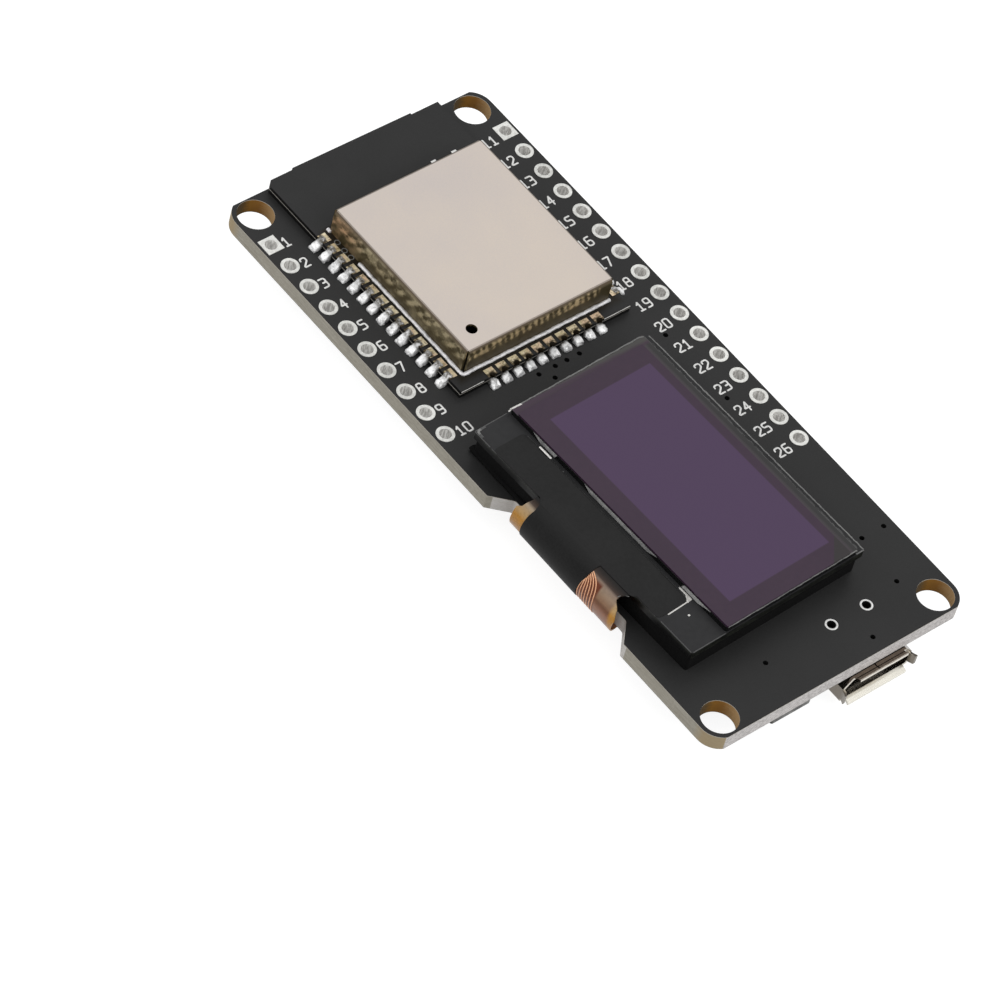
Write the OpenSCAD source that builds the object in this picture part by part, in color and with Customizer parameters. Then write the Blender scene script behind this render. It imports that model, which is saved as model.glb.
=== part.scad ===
// Microcontroller board with a radio module and a small OLED display.
// Millimetres. Origin: centre of the four corner holes, on the underside of the board.
// +X points to the long pad row, +Y to the antenna end, +Z out of the display side.

/* [Board] */
// Distance between the corner holes across the board
hole_pitch_x = 23.2; // [22:0.1:26]
// Distance between the corner holes along the board
hole_pitch_y = 59.4; // [58.5:0.1:64]
// Diameter of the corner holes
corner_hole_d = 3.2; // [2.2:0.1:3.3]
// Side edges beyond the corner hole centres, also the corner radius
side_margin = 2.0; // [1.8:0.05:3]
// Antenna end beyond the corner hole centres
antenna_margin = 1.7; // [1.7:0.05:2.5]
// Socket end beyond the corner hole centres
socket_margin = 1.85; // [1.7:0.05:2.5]
// Thickness of the board
board_t = 1.5; // [1:0.1:2]
// Diameter of the small vias
via_d = 0.45; // [0.2:0.05:0.5]

/* [Header pads] */
// Distance between the two rows of pads
row_spacing = 25.1; // [24.9:0.1:25.4]
// Pitch of the pads in a row
pin_pitch = 2.54; // [2.5:0.01:2.56]
// Number of pads in the short row
short_row_n = 10; // [8:1:11]
// Number of pads in the long row
long_row_n = 16; // [12:1:19]
// First pads behind the antenna end corner holes
first_pad_drop = 3.27; // [3:0.01:3.6]
// Diameter of a pad's ring
pad_d = 1.6; // [1.3:0.05:1.7]
// Finished diameter of a pad's hole
drill_d = 1.05; // [0.9:0.05:1.1]
// Thickness of the copper on the faces and in the holes
copper_t = 0.05; // [0.03:0.01:0.08]

/* [Radio module] */
// Width of the module board
module_w = 18.2; // [18:0.1:18.6]
// Length of the module board
module_l = 25.65; // [25.2:0.05:26]
// Thickness of the module board
module_t = 0.8; // [0.6:0.1:1.2]
// Module centre line beside the board's centre line
module_x = -0.1; // [-0.3:0.01:0.3]
// Module end beyond the board's antenna end
module_overhang = 0.15; // [0:0.05:0.5]
// Height of the snap-off steps in the module's end
snap_step = 0.15; // [0.05:0.05:0.3]
// Pitch of the half-round edge contacts
contact_pitch = 1.27; // [1.2:0.01:1.29]
// Contacts along each side of the module
side_contacts = 14; // [10:1:14]
// Contacts along the module's lower end
end_contacts = 10; // [6:1:10]
// Centre of the lowest side contact above the module's lower edge
side_contact_start = 1.92; // [1.6:0.01:2.1]
// Width of the gold land at each contact
land_w = 0.92; // [0.7:0.02:1]
// Length of the gold land, inward from the edge
land_l = 0.8; // [0.6:0.05:1]
// Diameter of the half-round contact hole
contact_hole_d = 0.6; // [0.5:0.05:0.65]
// Solder outward from the module's sides
solder_reach_side = 0.75; // [0.5:0.05:0.9]
// Solder outward from the module's lower end
solder_reach_end = 0.5; // [0.3:0.05:0.7]

/* [Shield can] */
// Width of the can
can_w = 15.8; // [15:0.1:16]
// Length of the can
can_l = 17.7; // [16:0.1:17.8]
// Height of the can over the module board
can_h = 2.45; // [1.8:0.05:3]
// Thickness of the can's sheet
can_t = 0.2; // [0.15:0.05:0.3]
// Can beside the module's centre line
can_shift = 0.1; // [-0.1:0.01:0.2]
// Can's lower wall above the module's lower edge
can_setback = 1.4; // [1.35:0.05:1.6]
// Outer radius of the can's bends
can_bend_r = 0.4; // [0.35:0.05:0.6]
// Width of the open seam at each corner
can_seam = 0.3; // [0.2:0.05:0.5]
// Diameter of the marker hole in the can
can_hole_d = 1.0; // [0.6:0.1:1.4]
// Height of the solder bead at the foot of the can
can_bead = 0.28; // [0.1:0.02:0.3]

/* [Display] */
// Width of the display's rear glass
glass_w = 19.0; // [18.6:0.1:19.2]
// Length of the display's rear glass
glass_l = 26.3; // [25:0.1:27]
// Thickness of the rear glass
rear_glass_t = 0.7; // [0.5:0.05:1]
// Thickness of the cap glass
cap_glass_t = 0.5; // [0.4:0.05:0.8]
// Width of the bare glass ledge beside the cap
ledge_w = 3.75; // [3.6:0.05:4]
// Cap glass back from the rear glass on three sides
cap_inset = 0.1; // [0.05:0.05:0.3]
// Cap glass back from the rear glass at the long row's side
cap_side_inset = 0.8; // [0.6:0.05:0.9]
// Thickness of the polariser
polariser_t = 0.17; // [0.1:0.01:0.25]
// Width of the lit area
pixel_w = 10.86; // [10:0.02:11]
// Length of the lit area
pixel_l = 21.74; // [20:0.02:22]
// Lit area beside the cap's centre
pixel_shift = 0.38; // [0.2:0.02:0.5]
// Thickness of the foam tape under the display
foam_t = 1.95; // [1:0.05:3]
// Foam tape back from the rear glass all round
foam_inset = 0.25; // [0.1:0.05:0.6]
// Glass ledge in from the board's notched edge
glass_edge_in = 1.87; // [1.8:0.01:2.1]
// Gap between the module's lower edge and the display
display_gap = 4.4; // [3.5:0.05:4.8]
// Turn of the display on its tape, in degrees
display_turn = 1.75; // [-1:0.05:2]

/* [Flex cable] */
// Width of the flex cable
flex_w = 12.5; // [10:0.1:13]
// Thickness of the flex cable
flex_t = 0.12; // [0.08:0.01:0.2]
// Outward bulge of the fold from the fold's centre line
fold_bulge = 1.5; // [1.3:0.05:1.7]
// Depth of the notch in the board's edge
notch_depth = 1.65; // [1.5:0.05:1.7]
// Clearance between the flex cable and each end of the notch
notch_clearance = 0.7; // [0.4:0.05:1.5]
// Width of the soldered tail under the board
tail_w = 19.4; // [14:0.1:20]
// Number of soldered tail contacts
tail_contacts = 30; // [16:1:30]
// Pitch of the soldered tail contacts
tail_pitch = 0.62; // [0.55:0.01:0.64]

/* [USB socket] */
// Socket centre beside the board's centre line
usb_x = 4.1; // [3.8:0.1:4.4]
// Width of the socket's shell
usb_w = 7.5; // [7.3:0.1:7.7]
// Height of the socket's shell
usb_h = 2.5; // [2.3:0.05:2.8]
// Length of the socket's shell
usb_l = 5.0; // [4.8:0.1:5.6]
// Thickness of the shell
usb_t = 0.25; // [0.2:0.05:0.3]
// Shell beyond the board's socket end
usb_overhang = 0.3; // [0:0.05:1]
// Length of the flared lips
lip_l = 0.55; // [0.3:0.05:0.7]
// Outward flare of the lips
lip_flare = 0.22; // [0.1:0.02:0.35]
// Distance between the locating pegs
peg_pitch = 3.8; // [3.4:0.1:4]

/* [Switches] */
// Length of a push switch
switch_l = 4.2; // [3.8:0.1:4.4]
// Width of a push switch
switch_w = 2.8; // [2.6:0.1:3]
// Height of a push switch's case
switch_h = 1.5; // [1.3:0.05:1.8]
// Travel of the plunger
switch_travel = 0.25; // [0.15:0.05:0.3]
// Plunger out of the case
plunger_out = 0.5; // [0.4:0.05:0.7]
// Running gap round the plunger
plunger_gap = 0.06; // [0.04:0.01:0.1]
// Distance between the two switches
switch_spacing = 4.3; // [3.6:0.1:4.4]

/* [Hidden] */

// Small allowances, named once
cut = 0.02;            // how far a cutting shape passes a face
fit = 0.02;            // clearance between fitted pieces of one assembly
round_fn = 48;         // faces of a visible round shape
small_fn = 24;         // faces of a small round shape

// Board outline
half_w = hole_pitch_x / 2 + side_margin;
antenna_y = hole_pitch_y / 2 + antenna_margin;
socket_y = -hole_pitch_y / 2 - socket_margin;
first_pad_y = hole_pitch_y / 2 - first_pad_drop;

// Radio module
module_top_y = antenna_y + module_overhang;
module_low_y = module_top_y - module_l;
module_z = board_t;
module_face_z = module_z + module_t;
module_tab_w = 12.5;
module_nip = 0.45;
feed_x = [4.2, 6.4];
feed_l = 0.5;
feed_w = 0.45;
feed_gap = 1.0;
solder_w = 0.88;
solder_foot = 0.12;
solder_crest = 0.14;
solder_cap_w = 0.66;
solder_cap_l = 0.42;
can_x = module_x + can_shift;
can_low_y = module_low_y + can_setback;

// Shield can: its marker hole, and the solder at its foot
can_hole_in = 1.95;
bead_bare = 3.9;
bead_dab = 0.5;

// Pieces under the can, placed from its lower edge and its centre line
radio_size = [6, 6, 0.9];
radio_at = [-1.5, 10.5];
flash_size = [4.2, 5.2, 0.8];
flash_at = [4.2, 5.2];
crystal_size = [3.2, 2.5, 0.7];
crystal_at = [-3.6, 4.6];
passive_size = [0.5, 1, 0.5];
passive_pitch = 1.5;
passive_row_at = [-4.4, 14.9];
passive_row_n = 5;
passive_column_at = [-6.4, 6.5];
passive_column_n = 4;
sheet_nip = 0.1;

// Display
display_x = -half_w + glass_edge_in + glass_w / 2;
display_y = module_low_y - display_gap - glass_l / 2;
rear_glass_z = board_t + foam_t;
ledge_z = rear_glass_z + rear_glass_t;
cap_w = glass_w - cap_side_inset - ledge_w;
cap_left = ledge_w - glass_w / 2;
cap_mid = cap_left + cap_w / 2;
cap_l = glass_l - 2 * cap_inset;
cap_top_z = ledge_z + cap_glass_t;
pixel_recess = 0.12;
pixel_margin = 0.4;
pixel_y = -0.25;
polariser_margin = 0.05;
polariser_short = 0.8;
polariser_clear = 0.75;
polariser_w = cap_w - 2 * polariser_margin - polariser_short;
polariser_l = cap_l - 2 * polariser_margin - polariser_clear;
polariser_down = polariser_clear / 2;
corner_nip = 0.25;

// Driver and its cover on the glass ledge
driver_l = 12;
driver_w = 1.1;
driver_h = 0.24;
driver_to_cap = 0.6;
film_t = 0.08;
cover_l = 19.9;
cover_y = 0.87;
cover_corner_r = 0.5;
cover_gap = 0.37;
cover_w = ledge_w - cover_gap;
cover_x = (cover_w - glass_w) / 2;
cover_slope = 0.12;
bond_l = 1.0;

// Flex cable: down from the glass ledge, round the notched edge, back under the board
fold_x = -half_w + notch_depth;
fold_high = ledge_z + flex_t / 2;
fold_low = -flex_t / 2;
fold_steps = 20;
bond_x = display_x - glass_w / 2 + bond_l;
tail_neck_l = 1.2;
tail_l = 3.75;
tail_joint_l = 1.1;
tail_joint_w = 0.36;
tail_joint_h = 0.16;
tail_neck_x = fold_x + tail_neck_l;
tail_end_x = tail_neck_x + tail_l;
tape_high = 5.3;
tape_low_glass = -2.8;
tape_low_fold = -1.6;
tape_gap = 0.04;
tape_under = 0.6;

// Notch in the board's edge
notch_floor = flex_w + 2 * notch_clearance;
notch_corner_r = 0.45;

// USB socket, hanging under the board
usb_front = socket_y - usb_overhang;
usb_back = usb_front + usb_l;
usb_chamfer = 0.85;
usb_corner_r = 0.35;
usb_seam_w = 0.08;
usb_seam_x = -0.4;
peg_back = 0.65;
peg_r = 0.28;
peg_clearance = 0.07;
peg_depth = 0.9;
usb_foot_l = 1.1;
usb_foot_y = [1.2, 3.4];
insert_depth = 1.5;
tongue_w = 3.9;
tongue_t = 0.6;
tongue_z = -1.8;
tongue_back = 0.7;
contact_w = 0.25;
contact_t = 0.1;
usb_contact_pitch = 0.65;
contact_foot_l = 0.9;
contact_foot_t = 0.15;

// Switches: the boot switch is beside the socket, the reset switch behind it
switch_x = -4.4;
switch_edge_gap = 0.45;
boot_y = socket_y + switch_edge_gap + switch_w / 2;
reset_y = boot_y + switch_spacing;
cover_t = 0.15;
flange_t = 0.25;
flange_reach = 0.25;
dome_h = 0.15;
dome_d = 2.0;
dome_t = 0.06;
dome_clearance = 0.08;
base_h = switch_h - cover_t - plunger_gap - flange_t - switch_travel - dome_clearance - dome_t - dome_h;
window_l = 2.0;
window_w = 1.0;
leg_l = 0.5;
leg_w = 0.6;
leg_t = 0.2;
case_corner_r = 0.2;

// Vias that show on the display side, placed by eye: x, distance from the socket end
VIAS = [
  [-1.9, 36.05], [-0.15, 36.05], [1.1, 36.05], [2.45, 36.05], [-0.95, 35.1],
  [10, 33.9], [10.1, 26.15], [10.2, 9.35], [12.6, 9.35],
  [-4.95, 3.95], [9.75, 4.55], [4.3, 1.35]
];

// Chip parts on the underside: x, distance from the socket end, turn in degrees
RESISTORS = [
  [1.4, 17.6, 90], [3.2, 17.6, 90], [5.0, 17.6, 90], [6.8, 17.6, 90],
  [1.2, 7.0, 0], [9.6, 21, 0], [9.6, 22.8, 0], [-8.6, 3.4, 90]
];
CAPACITORS = [[-3.4, 19, 0], [-0.8, 19, 0], [8.6, 17.6, 90]];

// Capacitors under the radio module: x, distance from its lower edge, turn in degrees
MODULE_CAPACITORS = [[-1.0, -3.3, 0], [2.4, -3.3, 0], [6.0, -2.5, 90]];
chip_l = 1.6;
chip_w = 0.8;
chip_end = 0.3;
resistor_h = 0.45;
capacitor_h = 0.8;

// Larger parts on the underside, with their distances from the socket end
regulator_at = [-1.4, 13];
regulator_size = [6.5, 3.5, 1.6];
regulator_lead_pitch = 2.3;
regulator_lead_w = 0.7;
regulator_tab_w = 3;
regulator_lead_l = 1.75;
bridge_at = [6, 11.4];
bridge_size = [5, 5, 0.8];
transistor_at = [[10.6, 17.4], [10.6, 13.6]];
transistor_size = [1.3, 2.9, 1.0];
transistor_lead = [0.4, 0.55];
transistor_lead_pitch = 1.9;
diode_at = [10.4, 8.2];
diode_size = [1.6, 2.7, 1.1];
diode_lead = [0.6, 0.5];
led_at = [0.9, 9];
led_size = [1.6, 0.8, 0.6];
lead_t = 0.15;

// A chain of points that rounds the corners of a path. Each entry is [x, y, radius].
function unit(v) = v / norm(v);
function corner_arc(a, b, c, steps) =
  let (u = unit([a[0] - b[0], a[1] - b[1]]), w = unit([c[0] - b[0], c[1] - b[1]]),
       half = acos(u * w) / 2, reach = b[2] / tan(half),
       centre = [b[0], b[1]] + unit(u + w) * (b[2] / sin(half)),
       p = [b[0], b[1]] + u * reach - centre, q = [b[0], b[1]] + w * reach - centre,
       start = atan2(p[1], p[0]), turn = atan2(p[0] * q[1] - p[1] * q[0], p * q))
  [for (i = [0 : steps]) centre + b[2] * [cos(start + turn * i / steps), sin(start + turn * i / steps)]];
function rounded(path, steps = 6) = [
  for (i = [0 : len(path) - 1])
    let (a = path[(i + len(path) - 1) % len(path)], b = path[i], c = path[(i + 1) % len(path)])
    each b[2] == 0 ? [[b[0], b[1]]] : corner_arc(a, b, c, steps)
];

// A flat plate with rounded upright edges, centred on X and Y
module plate(w, l, t, r) {
  linear_extrude(t)
    polygon(rounded([[-w / 2, -l / 2, r], [w / 2, -l / 2, r], [w / 2, l / 2, r], [-w / 2, l / 2, r]]));
}

// A box on the underside of the board, centred on X and Y and reaching down
module under_box(size) {
  translate([-size[0] / 2, -size[1] / 2, -size[2]]) cube(size);
}

// A place on the underside, measured from the socket end
module from_socket_end(at) {
  translate([at[0], socket_y + at[1], 0]) children();
}

// Everything on the display's glass turns with it
module on_display() {
  translate([display_x, display_y, 0]) rotate(display_turn) children();
}

// Header pad places: both rows start beside the antenna end
module at_pads(skip_first) {
  first = skip_first ? 1 : 0;
  for (i = [first : short_row_n - 1])
    translate([-row_spacing / 2, first_pad_y - i * pin_pitch, 0]) children();
  for (i = [first : long_row_n - 1])
    translate([row_spacing / 2, first_pad_y - i * pin_pitch, 0]) children();
}

// The board: arcs round the corner holes meet straight, snapped ends
module board_outline() {
  intersection() {
    translate([-half_w, socket_y]) square([2 * half_w, antenna_y - socket_y]);
    union() {
      for (x = [-1, 1], y = [-1, 1])
        translate([x * hole_pitch_x / 2, y * hole_pitch_y / 2]) circle(side_margin, $fn = round_fn);
      square([2 * half_w, hole_pitch_y], center = true);
      translate([-hole_pitch_x / 2, socket_y]) square([hole_pitch_x, antenna_y - socket_y]);
    }
  }
}

// Notch for the flex cable: a flat floor with slanting ends
module notch_outline() {
  floor_x = -half_w + notch_depth;
  outside = -half_w - 1;
  slope = notch_depth + 1;
  translate([0, display_y])
    polygon(rounded([
      [outside, notch_floor / 2 + slope, 0], [floor_x, notch_floor / 2, notch_corner_r],
      [floor_x, -notch_floor / 2, notch_corner_r], [outside, -notch_floor / 2 - slope, 0]
    ]));
}

module main_board() {
  color("#3a3a3a")
    difference() {
      linear_extrude(board_t)
        difference() {
          board_outline();
          notch_outline();
        }
      for (x = [-1, 1], y = [-1, 1])
        translate([x * hole_pitch_x / 2, y * hole_pitch_y / 2, -cut])
          cylinder(h = board_t + 2 * cut, d = corner_hole_d, $fn = round_fn);
      at_pads(false)
        translate([0, 0, -cut])
          cylinder(h = board_t + 2 * cut, d = drill_d + 2 * copper_t, $fn = small_fn);
      usb_pegs(peg_r + peg_clearance, -cut, board_t + cut);
      for (p = VIAS)
        from_socket_end(p)
          translate([0, 0, -cut]) cylinder(h = board_t + 2 * cut, d = via_d, $fn = small_fn);
    }
}

// A plated hole: a ring on each face joined by the plating in the hole
module plated_hole(square_ring) {
  difference() {
    union() {
      for (z = [-copper_t, board_t])
        translate([0, 0, z])
          if (square_ring) translate([-pad_d / 2, -pad_d / 2, 0]) cube([pad_d, pad_d, copper_t]);
          else cylinder(h = copper_t, d = pad_d, $fn = round_fn);
      cylinder(h = board_t, d = drill_d + 2 * copper_t, $fn = small_fn);
    }
    translate([0, 0, -copper_t - cut])
      cylinder(h = board_t + 2 * copper_t + 2 * cut, d = drill_d, $fn = small_fn);
  }
}

module header_pads() {
  color("#d8d8d4") {
    for (s = [-1, 1])
      translate([s * row_spacing / 2, first_pad_y, 0]) plated_hole(true);
    at_pads(true) plated_hole(false);
  }
}

// Edge contact places on the module: the children face outward along +X
module at_side_contacts() {
  first_y = module_low_y + side_contact_start;
  for (s = [-1, 1], i = [0 : side_contacts - 1])
    translate([module_x + s * module_w / 2, first_y + i * contact_pitch, module_z])
      rotate(s > 0 ? 0 : 180) children();
}
module at_end_contacts() {
  first_x = module_x - (end_contacts - 1) / 2 * contact_pitch;
  for (i = [0 : end_contacts - 1])
    translate([first_x + i * contact_pitch, module_low_y, module_z]) rotate(-90) children();
}

module module_board() {
  w = module_w / 2;
  tab = module_tab_w / 2;
  nip = module_nip;
  color("#3b3b3b")
    difference() {
      translate([module_x, module_low_y, module_z])
        linear_extrude(module_t)
          polygon([
            [-w, 0], [w, 0], [w, module_l - snap_step], [tab, module_l - snap_step],
            [tab, module_l], [-tab, module_l + snap_step], [-tab - snap_step, module_l],
            [-w + nip, module_l], [-w, module_l - nip]
          ]);
      at_side_contacts() contact_cut();
      at_end_contacts() contact_cut();
    }
}
module contact_cut() {
  translate([0, 0, -cut])
    cylinder(h = module_t + 2 * cut, d = contact_hole_d + 2 * copper_t, $fn = small_fn);
}

// One gold edge contact: a land on the top face and the plating of the half hole
module edge_contact() {
  difference() {
    union() {
      translate([-land_l, -land_w / 2, module_t]) cube([land_l, land_w, copper_t]);
      intersection() {
        cylinder(h = module_t, d = contact_hole_d + 2 * copper_t, $fn = small_fn);
        translate([-land_l, -land_w / 2, 0]) cube([land_l, land_w, module_t]);
      }
    }
    translate([0, 0, -cut])
      cylinder(h = module_t + copper_t + 2 * cut, d = contact_hole_d, $fn = small_fn);
  }
}

module module_pads() {
  feed = [feed_l, feed_w, copper_t];
  color("#cdbd85") {
    at_side_contacts() edge_contact();
    at_end_contacts() edge_contact();
    for (x = feed_x)
      translate([can_x + x, can_low_y + can_l + feed_gap, module_face_z]) cube(feed);
  }
}

// One solder joint: full over the board, up through the half hole and over the land's outer part
module solder_joint(reach) {
  inner = contact_hole_d / 2 - fit;
  land_top = module_t + copper_t;
  crest = land_top + solder_crest;
  waist = 0.4 * solder_w;
  intersection() {
    rotate([90, 0, 0])
      linear_extrude(2 * solder_w, center = true)
        polygon([
          [-solder_cap_l, 0], [reach, 0], [reach, solder_foot], [0.9 * reach, 0.4 * module_t],
          [0.7 * reach, 0.7 * module_t], [0.45 * reach, 0.95 * module_t], [0.2 * reach, land_top],
          [0, crest - solder_crest / 4], [-inner / 2, crest], [-inner, crest - solder_crest / 4],
          [-solder_cap_l, land_top + solder_crest / 4]
        ]);
    union() {
      linear_extrude(2 * module_t)
        union() {
          circle(inner, $fn = small_fn);
          polygon([
            [0, -inner], [0.4 * reach, -waist], [reach, -solder_w / 2],
            [reach, solder_w / 2], [0.4 * reach, waist], [0, inner]
          ]);
        }
      translate([-solder_cap_l, -solder_cap_w / 2, land_top])
        cube([2 * solder_cap_l, solder_cap_w, module_t]);
    }
  }
}

module module_solder() {
  color("#cfcfcf") {
    at_side_contacts() solder_joint(solder_reach_side);
    at_end_contacts() solder_joint(solder_reach_end);
  }
}

// The can is one folded sheet: a top with two pairs of walls and open corners
module can_hoop(span, run) {
  half = span / 2;
  low = half - can_t;
  bend_in = can_bend_r - can_t;
  outer = [[-half, 0, 0], [half, 0, 0], [half, can_h, can_bend_r], [-half, can_h, can_bend_r]];
  inner = [
    [-low, -cut, 0], [low, -cut, 0], [low, can_h - can_t, bend_in], [-low, can_h - can_t, bend_in]
  ];
  rotate([90, 0, 0])
    linear_extrude(run - 2 * can_seam, center = true)
      difference() {
        polygon(rounded(outer));
        polygon(rounded(inner));
      }
}

module shield_can() {
  color("#d4c9be")
    translate([can_x, can_low_y + can_l / 2, module_face_z])
      difference() {
        union() {
          can_hoop(can_w, can_l);
          rotate(90) can_hoop(can_l, can_w);
        }
        translate([-can_w / 2 + can_hole_in, -can_l / 2 + can_hole_in, can_h / 2])
          cylinder(h = can_h, d = can_hole_d, $fn = round_fn);
      }
}

// Solder along the foot of two of the can's walls, with a dab at the antenna end
module bead(length) {
  waist = 0.4 * can_bead;
  linear_extrude(length) polygon([[0, 0], [-can_bead, 0], [-waist, waist], [0, can_bead]]);
}
module can_solder() {
  wall_x = can_x - can_w / 2;
  top_y = can_low_y + can_l - can_seam;
  side_l = can_l - 2 * can_seam - bead_bare;
  color("#d9d9d6") {
    translate([wall_x + can_seam, can_low_y, module_face_z]) rotate([90, 0, 90]) bead(can_w - 2 * can_seam);
    translate([wall_x, top_y - bead_bare, module_face_z]) rotate([90, 0, 0]) bead(side_l);
    translate([wall_x, top_y, module_face_z]) rotate([90, 0, 0]) bead(bead_dab);
  }
}

module on_module(at) {
  translate([can_x + at[0], can_low_y + at[1], module_face_z]) children();
}
module chip_block(size) {
  plate(size[0], size[1], size[2], sheet_nip);
}
module radio_chip() {
  color("#2b2b2b") on_module(radio_at) chip_block(radio_size);
}
module flash_chip() {
  color("#2f2f2f") on_module(flash_at) chip_block(flash_size);
}
module crystal() {
  color("#c8c8c0") on_module(crystal_at) chip_block(crystal_size);
}
module module_passives() {
  color("#a58a66") {
    for (i = [0 : passive_row_n - 1])
      on_module(passive_row_at + [i * passive_pitch, 0]) chip_block(passive_size);
    for (i = [0 : passive_column_n - 1])
      on_module(passive_column_at + [0, i * passive_pitch]) rotate(90) chip_block(passive_size);
  }
}

module foam_tape() {
  w = glass_w - 2 * foam_inset;
  l = glass_l - 2 * foam_inset;
  color("#101010") on_display() translate([0, 0, board_t]) plate(w, l, foam_t, corner_nip);
}

module display_rear_glass() {
  color("#343638")
    on_display() translate([0, 0, rear_glass_z]) plate(glass_w, glass_l, rear_glass_t, corner_nip);
}

// The cap is hollowed underneath, over the lit area
module display_cap_glass() {
  color("#4a4048")
    on_display()
      translate([cap_mid, 0, ledge_z])
        difference() {
          plate(cap_w, cap_l, cap_glass_t, corner_nip);
          translate([pixel_shift, pixel_y, -cut])
            plate(pixel_w + 2 * pixel_margin, pixel_l + 2 * pixel_margin, pixel_recess + cut, 0.2);
        }
}

module polariser() {
  color("#4b3a48")
    on_display()
      translate([cap_mid - polariser_short / 2, -polariser_down, cap_top_z])
        plate(polariser_w, polariser_l, polariser_t, corner_nip / 2);
}

module pixel_area() {
  color("#58485d")
    on_display()
      translate([cap_mid + pixel_shift, pixel_y, ledge_z])
        plate(pixel_w, pixel_l, pixel_recess / 2, corner_nip / 5);
}

module driver_place() {
  on_display() translate([cap_left - driver_to_cap - driver_w / 2, cover_y, ledge_z]) children();
}
module driver_chip() {
  color("#6d6f73") driver_place() plate(driver_w, driver_l, driver_h, 0.05);
}

// The cover film lies over the bonded end of the flex cable and rises over the driver
module driver_cover() {
  top = driver_w / 2 + cover_slope;
  ridge_h = driver_h + fit + film_t;
  color("#262626")
    difference() {
      union() {
        on_display()
          translate([cover_x, cover_y, ledge_z])
            plate(cover_w, cover_l, flex_t + fit + film_t, cover_corner_r);
        driver_place()
          rotate([90, 0, 0])
            linear_extrude(driver_l + 2 * cover_slope, center = true)
              polygon([[-top - cover_slope, 0], [top + cover_slope, 0], [top, ridge_h], [-top, ridge_h]]);
      }
      driver_place()
        translate([0, 0, -cut]) plate(driver_w + 2 * fit, driver_l + 2 * fit, driver_h + fit + cut, 0.05);
      translate([bond_x - glass_w + fit, display_y - flex_w / 2 - fit, ledge_z - cut])
        cube([glass_w, flex_w + 2 * fit, flex_t + fit + cut]);
    }
}

// Centre line of the folded flex cable, offset outward by a distance
function fold_point(a, off) = let (
    mid = (fold_high + fold_low) / 2, tall = (fold_high - fold_low) / 2,
    p = [fold_x - fold_bulge * cos(a), mid + tall * sin(a)],
    n = unit([-cos(a) / fold_bulge, sin(a) / tall])
  ) p + off * n;
function fold_line(off) = [for (i = [0 : fold_steps]) fold_point(90 - 180 * i / fold_steps, off)];
function reversed(list) = [for (i = [len(list) - 1 : -1 : 0]) list[i]];

// A strip along the fold between two offsets, with straight ends above and below the board
module folded_strip(near, far, high_x, low_x, width) {
  translate([0, display_y, 0])
    rotate([90, 0, 0])
      linear_extrude(width, center = true)
        polygon(concat(
          [[high_x, fold_high + far]], fold_line(far), [[low_x, fold_low - far]],
          [[low_x, fold_low - near]], reversed(fold_line(near)), [[high_x, fold_high + near]]
        ));
}

module flex_cable() {
  color("#b06a28") {
    folded_strip(-flex_t / 2, flex_t / 2, bond_x, tail_neck_x, flex_w);
    translate([tail_neck_x, display_y - tail_w / 2, -flex_t]) cube([tail_l, tail_w, flex_t]);
  }
}

// Black tape over part of the flex cable's outer face, cut at a slant
function glass_edge(y) = display_x - glass_w / 2 / cos(display_turn) - y * tan(display_turn);
module flex_tape() {
  start_x = glass_edge(0) + bond_l;
  outer_x = fold_x - fold_bulge;
  color("#262626")
    intersection() {
      folded_strip(flex_t / 2, flex_t / 2 + film_t, start_x, fold_x + tape_under, 2 * tape_high);
      translate([0, display_y, fold_low - 1])
        linear_extrude(fold_high - fold_low + 2)
          polygon([
            [outer_x - 1, tape_high], [glass_edge(tape_high) - tape_gap, tape_high],
            [glass_edge(tape_low_glass) - tape_gap, tape_low_glass],
            [outer_x, tape_low_fold], [outer_x - 1, tape_low_fold]
          ]);
    }
}

module flex_solder() {
  h = tail_joint_h;
  over = tail_joint_l / 2;
  color("#cfcfcf")
    for (i = [0 : tail_contacts - 1])
      translate([tail_end_x, display_y + (i - (tail_contacts - 1) / 2) * tail_pitch, 0])
        rotate([90, 0, 0])
          linear_extrude(tail_joint_w, center = true)
            polygon([
              [0, 0], [tail_joint_l, 0], [tail_joint_l, -h / 3], [0.45 * tail_joint_l, -h],
              [0, -flex_t - h / 3], [-over, -flex_t - h / 4], [-over, -flex_t], [0, -flex_t]
            ]);
}

// Section of the socket, seen from its mouth: narrow against the board, wide below
function usb_section(inset) = let (
    w = usb_w / 2 - inset, top = -inset, low = -usb_h + inset,
    slope = usb_chamfer - 0.4 * inset, r = usb_corner_r - inset / 2
  ) rounded([
    [-w + slope, top, r / 2], [-w, top - slope, r / 2], [-w, low, r],
    [w, low, r], [w, top - slope, r / 2], [w - slope, top, r / 2]
  ]);

module usb_place(y) {
  translate([usb_x, y, 0]) rotate([90, 0, 0]) children();
}

// A flared lip: a strip as long as w whose profile bends outward along +Y
module lip(w) {
  rotate([90, 0, 90])
    linear_extrude(w, center = true)
      polygon([
        [0, 0], [-0.4 * lip_l, 0.25 * lip_flare], [-lip_l, lip_flare],
        [-lip_l, lip_flare - usb_t], [-0.4 * lip_l, 0.25 * lip_flare - usb_t], [0, -usb_t]
      ]);
}

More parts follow.
